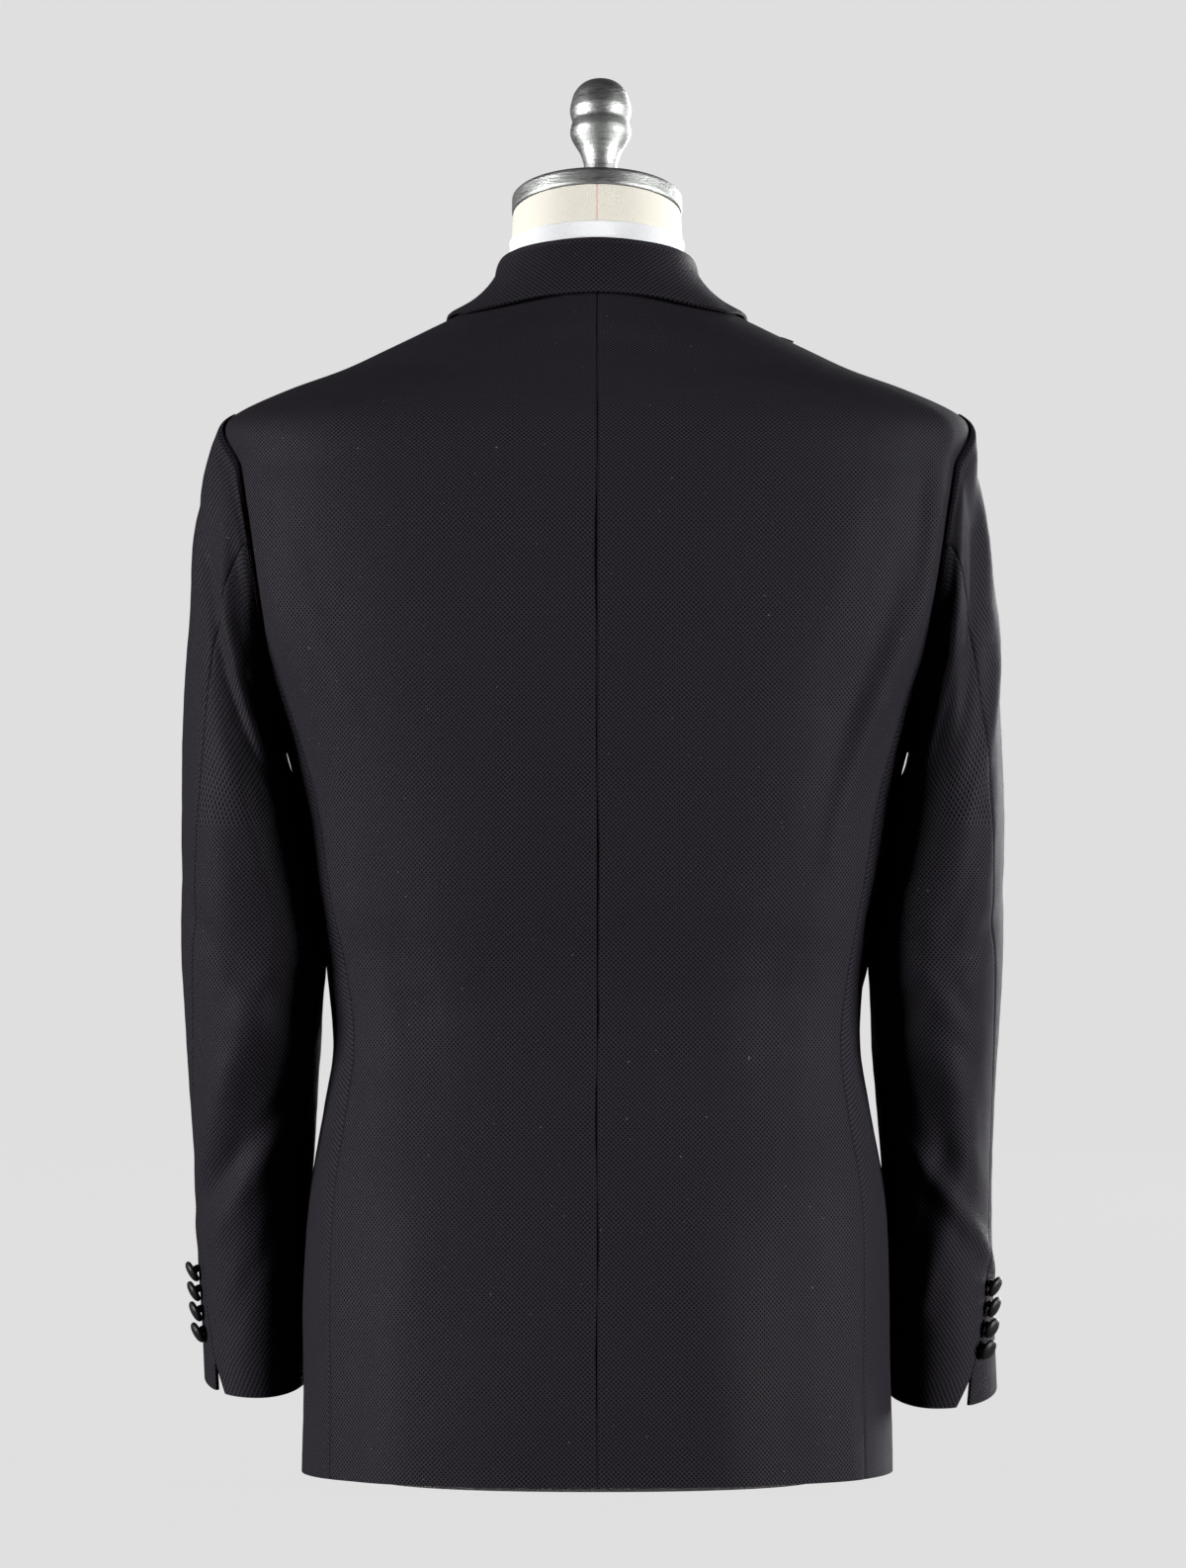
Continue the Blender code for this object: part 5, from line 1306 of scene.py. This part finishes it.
# %% Torso and neck of the form
# columns: height, half_width, back_depth, front_depth, fullness
FORM_RINGS = np.array((
    (0.0000, 0.1330, 0.0900, 0.0900, 2.20), (0.0040, 0.1480, 0.1050, 0.1050, 2.20),
    (0.0140, 0.1590, 0.1150, 0.1150, 2.20), (0.0300, 0.1640, 0.1190, 0.1200, 2.25),
    (0.1180, 0.1650, 0.1190, 0.1200, 2.30), (0.1780, 0.1620, 0.1110, 0.1170, 2.30),
    (0.2620, 0.1520, 0.0900, 0.1080, 2.30), (0.3540, 0.1640, 0.0980, 0.1150, 2.35),
    (0.4220, 0.1755, 0.1075, 0.1230, 2.40), (0.4630, 0.1860, 0.1110, 0.1260, 2.40),
    (0.5170, 0.2030, 0.1115, 0.1250, 2.40), (0.5710, 0.2110, 0.1090, 0.1210, 2.40),
    (0.6120, 0.2150, 0.1045, 0.1150, 2.35), (0.6340, 0.2130, 0.0990, 0.1080, 2.30),
    (0.6435, 0.2060, 0.0975, 0.1045, 2.25), (0.6582, 0.1862, 0.0930, 0.0960, 2.20),
    (0.6702, 0.1535, 0.0880, 0.0880, 2.10), (0.6822, 0.1275, 0.0830, 0.0800, 2.10),
    (0.6942, 0.1025, 0.0775, 0.0720, 2.05), (0.7050, 0.0760, 0.0690, 0.0630, 2.00),
    (0.7120, 0.0585, 0.0585, 0.0570, 2.00), (0.7220, 0.0535, 0.0535, 0.0530, 2.00),
    (0.7492, 0.0530, 0.0530, 0.0530, 2.00),
))
NECK_RADIUS, BAND_TOP, CAP_HEIGHT = 0.0520, 0.7495, 0.7728
BAND_TILT, CAP_TILT = np.radians(12.0), np.radians(17.5)


def ring_lengths(rings):
    """Unrolled width round each ring scaled to the widest, and height up each column."""
    around = arc_lengths(rings, 1)
    around = around / around[:, -1:] * around[:, -1].max()
    return np.stack((around, arc_lengths(rings, 0)), axis=-1)


turn = np.linspace(0, 2 * np.pi, 2 * fine(90) + 1)[None, :]
heights = np.array((0, 0.020, 0.630, BAND_TOP - SEAM))
levels = smooth(np.linspace(0, 1, fine(190)), np.array((0, 0.08, 0.75, 1)), heights)
torso = ring_point(FORM_RINGS, turn, levels[:, None] + 0 * turn)
hem_roll = 0.0006 * np.exp(-((levels - BAND_TOP + 0.0012) / 0.0010) ** 2)[:, None, None]
torso = torso + hem_roll * outward_of(1, turn)
lean = np.clip((levels - 0.722) / (BAND_TOP - 0.722), 0, 1) ** 2
torso[..., 2] += lean[:, None] * np.tan(BAND_TILT) * torso[..., 1]
foot = torso[:1] * np.linspace(0.002, 0.97, 12)[:, None, None] * np.array((1, 1, 0))
top = torso[-1:].copy()
centre = top[:, :-1].mean(axis=1, keepdims=True)
lid = centre + (top - centre) * np.linspace(0.97, 0.002, 8)[:, None, None]
torso = np.concatenate((foot, torso, lid))
piece = turned_piece("form_torso_jersey", torso[:, :-1], ring_lengths(torso), JERSEY)
finish_solid(piece, "form_torso")

levels = np.linspace(BAND_TOP, CAP_HEIGHT - 0.0065, 16)
share = (levels - levels[0]) / (levels[-1] - levels[0])
radius = NECK_RADIUS - 0.0010 * share
seam_dip = 1 - 0.008 * (np.exp(-(turn / 0.02) ** 2) + np.exp(-((turn - 2 * np.pi) / 0.02) ** 2))
neck = np.stack((np.sin(turn) * seam_dip * radius[:, None], np.cos(turn) * seam_dip * radius[:, None],
                 levels[:, None] + 0 * turn), axis=-1)
lean = np.tan(BAND_TILT) + (np.tan(CAP_TILT) - np.tan(BAND_TILT)) * share
neck[..., 2] += lean[:, None] * neck[..., 1]
inner = np.linspace(0.02, 0.98, 6)[:, None, None]
middles = [ring[:, :-1].mean(axis=1, keepdims=True) for ring in (neck[:1], neck[-1:])]
floor = middles[0] + (neck[:1] - middles[0]) * inner
neck = np.concatenate((floor, neck, middles[1] + (neck[-1:] - middles[1]) * inner[::-1]))
piece = turned_piece("form_neck_linen", neck[:, :-1], ring_lengths(neck), LINEN)
finish_solid(piece, "form_neck")

# %% [markdown]
# The cap plate and the knob are cast and turned in aluminium. Both are profiles, rows of radius
# and height, turned about an axis that leans forwards as the neck's top does.

# %% Cap plate and knob
CAP = (
    (0.0001, -0.0060), (0.0440, -0.0060), (0.0500, -0.0060), (0.0511, -0.0055), (0.0516, -0.0045),
    (0.0516, 0.0030), (0.0514, 0.0043), (0.0506, 0.0052), (0.0494, 0.0055), (0.0482, 0.0052),
    (0.0474, 0.0050), (0.0440, 0.0058), (0.0300, 0.0078), (0.0150, 0.0087), (0.0001, 0.0088),
)
KNOB = np.array((
    (0.0001, 0.0000), (0.0122, 0.0000), (0.0125, 0.0008), (0.0104, 0.0060), (0.0100, 0.0120),
    (0.0103, 0.0180), (0.0124, 0.0250), (0.0157, 0.0310), (0.0178, 0.0350), (0.0185, 0.0385),
    (0.0180, 0.0420), (0.0173, 0.0454), (0.0180, 0.0488), (0.0187, 0.0519), (0.0184, 0.0552),
    (0.0177, 0.0585), (0.0160, 0.0640), (0.0118, 0.0692), (0.0060, 0.0720), (0.0001, 0.0726),
))
axis = np.array((0, -np.sin(CAP_TILT), np.cos(CAP_TILT)))
centre = np.array((0, 0, CAP_HEIGHT))
plate = turn_profile("neck_cap_plate", CAP, centre, axis, METAL, 120, sharp_degrees=50.0)
finish_solid(plate, "neck_cap")
share = np.linspace(0, len(KNOB) - 1, 90)
rounded = np.stack([smooth(share, np.arange(len(KNOB)), KNOB[:, k]) for k in (0, 1)], axis=-1)
foot = centre + axis * (0.0088 + SEAM) + np.array((-0.0022, 0, 0))
knob = turn_profile("finial_knob_turned", rounded, foot, axis, METAL, 64)
finish_solid(knob, "finial_knob")
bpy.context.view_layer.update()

# %% [markdown]
# Black cloth shows only what it reflects. Two large soft lights stand far out to the left and
# right, so the bulging sides of the back catch a sheen and the middle stays dark. A third one
# lights the front, which the photograph hides. The stage is a pale bowl that the camera sees as
# even grey; it hardly lights the cloth.

# %% Stage, lights and camera
def stage_material():
    """Pale paint that glows evenly for the camera and keeps a faint shadow at the foot."""
    material, tree, shader = new_material("stage_paint")
    path = tree.nodes.new("ShaderNodeLightPath")
    fleck = noise(tree, coordinates(tree, "Object"), 3.0, 2.0)
    paint = mix_colour(tree, fleck, (0.006, 0.006, 0.006), (0.008, 0.008, 0.008))
    seen = maths(tree, "MULTIPLY_ADD", path.outputs["Is Camera Ray"], 0.98, 0.02)
    glow = maths(tree, "MULTIPLY_ADD", path.outputs["Is Glossy Ray"], 0.10, seen)
    set_inputs(shader, Base_Color=paint, Roughness=1.0, Specular_IOR_Level=0.0,
               Emission_Color=(0.738, 0.738, 0.738, 1.0), Emission_Strength=glow)
    return material


FLOOR, CURVE = 12.0, 4.0                     # radius of the flat floor, and of the bend to the wall
sweep = np.linspace(0.1, np.pi / 2, 20)
bowl = np.concatenate((
    np.stack((np.linspace(0.001, FLOOR, 12), np.zeros(12)), axis=-1),
    np.stack((FLOOR + CURVE * np.sin(sweep), CURVE - CURVE * np.cos(sweep)), axis=-1),
    np.array(((FLOOR + CURVE, 16.0),)),
))
turn = np.linspace(0, 2 * np.pi, 97)
radius, height = bowl[:, :1], bowl[:, 1:]
rings = np.stack((radius * np.cos(turn), radius * np.sin(turn), height + 0 * turn), axis=-1)
grid = quads(np.arange(rings.shape[0] * len(turn)).reshape(-1, len(turn)))
no_uv = np.zeros((len(grid), 4, 2))
stage = mesh_object("stage_bowl", rings.reshape(-1, 3), grid, no_uv, stage_material())
stage.location.z = cad_box[0][2]


def soft_light(name, place, aim, size, power):
    """Rectangular area light turned to a point and unseen by the camera."""
    light = bpy.data.lights.new(name, "AREA")
    light.shape = "RECTANGLE"
    light.size, light.size_y = size
    light.energy = power
    lamp = bpy.data.objects.new(name, light)
    lamp.location = place
    ahead = Vector(aim) - Vector(place)
    lamp.rotation_euler = ahead.to_track_quat("-Z", "Y").to_euler()
    lamp.visible_camera = False
    bpy.context.scene.collection.objects.link(lamp)


for side, word in SIDES:
    soft_light(f"softbox_{word}", (side * 4.05, 1.55, 0.70), (0.0, 0.0, 0.40), (1.7, 1.3), 330.0)
soft_light("softbox_front", (-2.3, -3.4, 1.0), (0.0, 0.0, 0.42), (2.4, 1.8), 170.0)

world = bpy.data.worlds.new("studio_air")
world.use_nodes = True
set_inputs(world.node_tree.nodes["Background"], Color=(0.8, 0.8, 0.8, 1.0), Strength=0.01)
bpy.context.scene.world = world
bpy.context.scene.view_settings.view_transform = "Standard"

camera = bpy.data.cameras.new("photo_camera")
camera.lens, camera.sensor_width, camera.clip_end = 189.16, 36.0, 60.0
viewer = bpy.data.objects.new("photo_camera", camera)
viewer.location = (0.0, 5.0023, 0.422)
viewer.rotation_euler = (np.pi / 2, 0.0, np.pi)
bpy.context.scene.collection.objects.link(viewer)
bpy.context.scene.camera = viewer
print("Camera at", tuple(round(c, 3) for c in viewer.location))
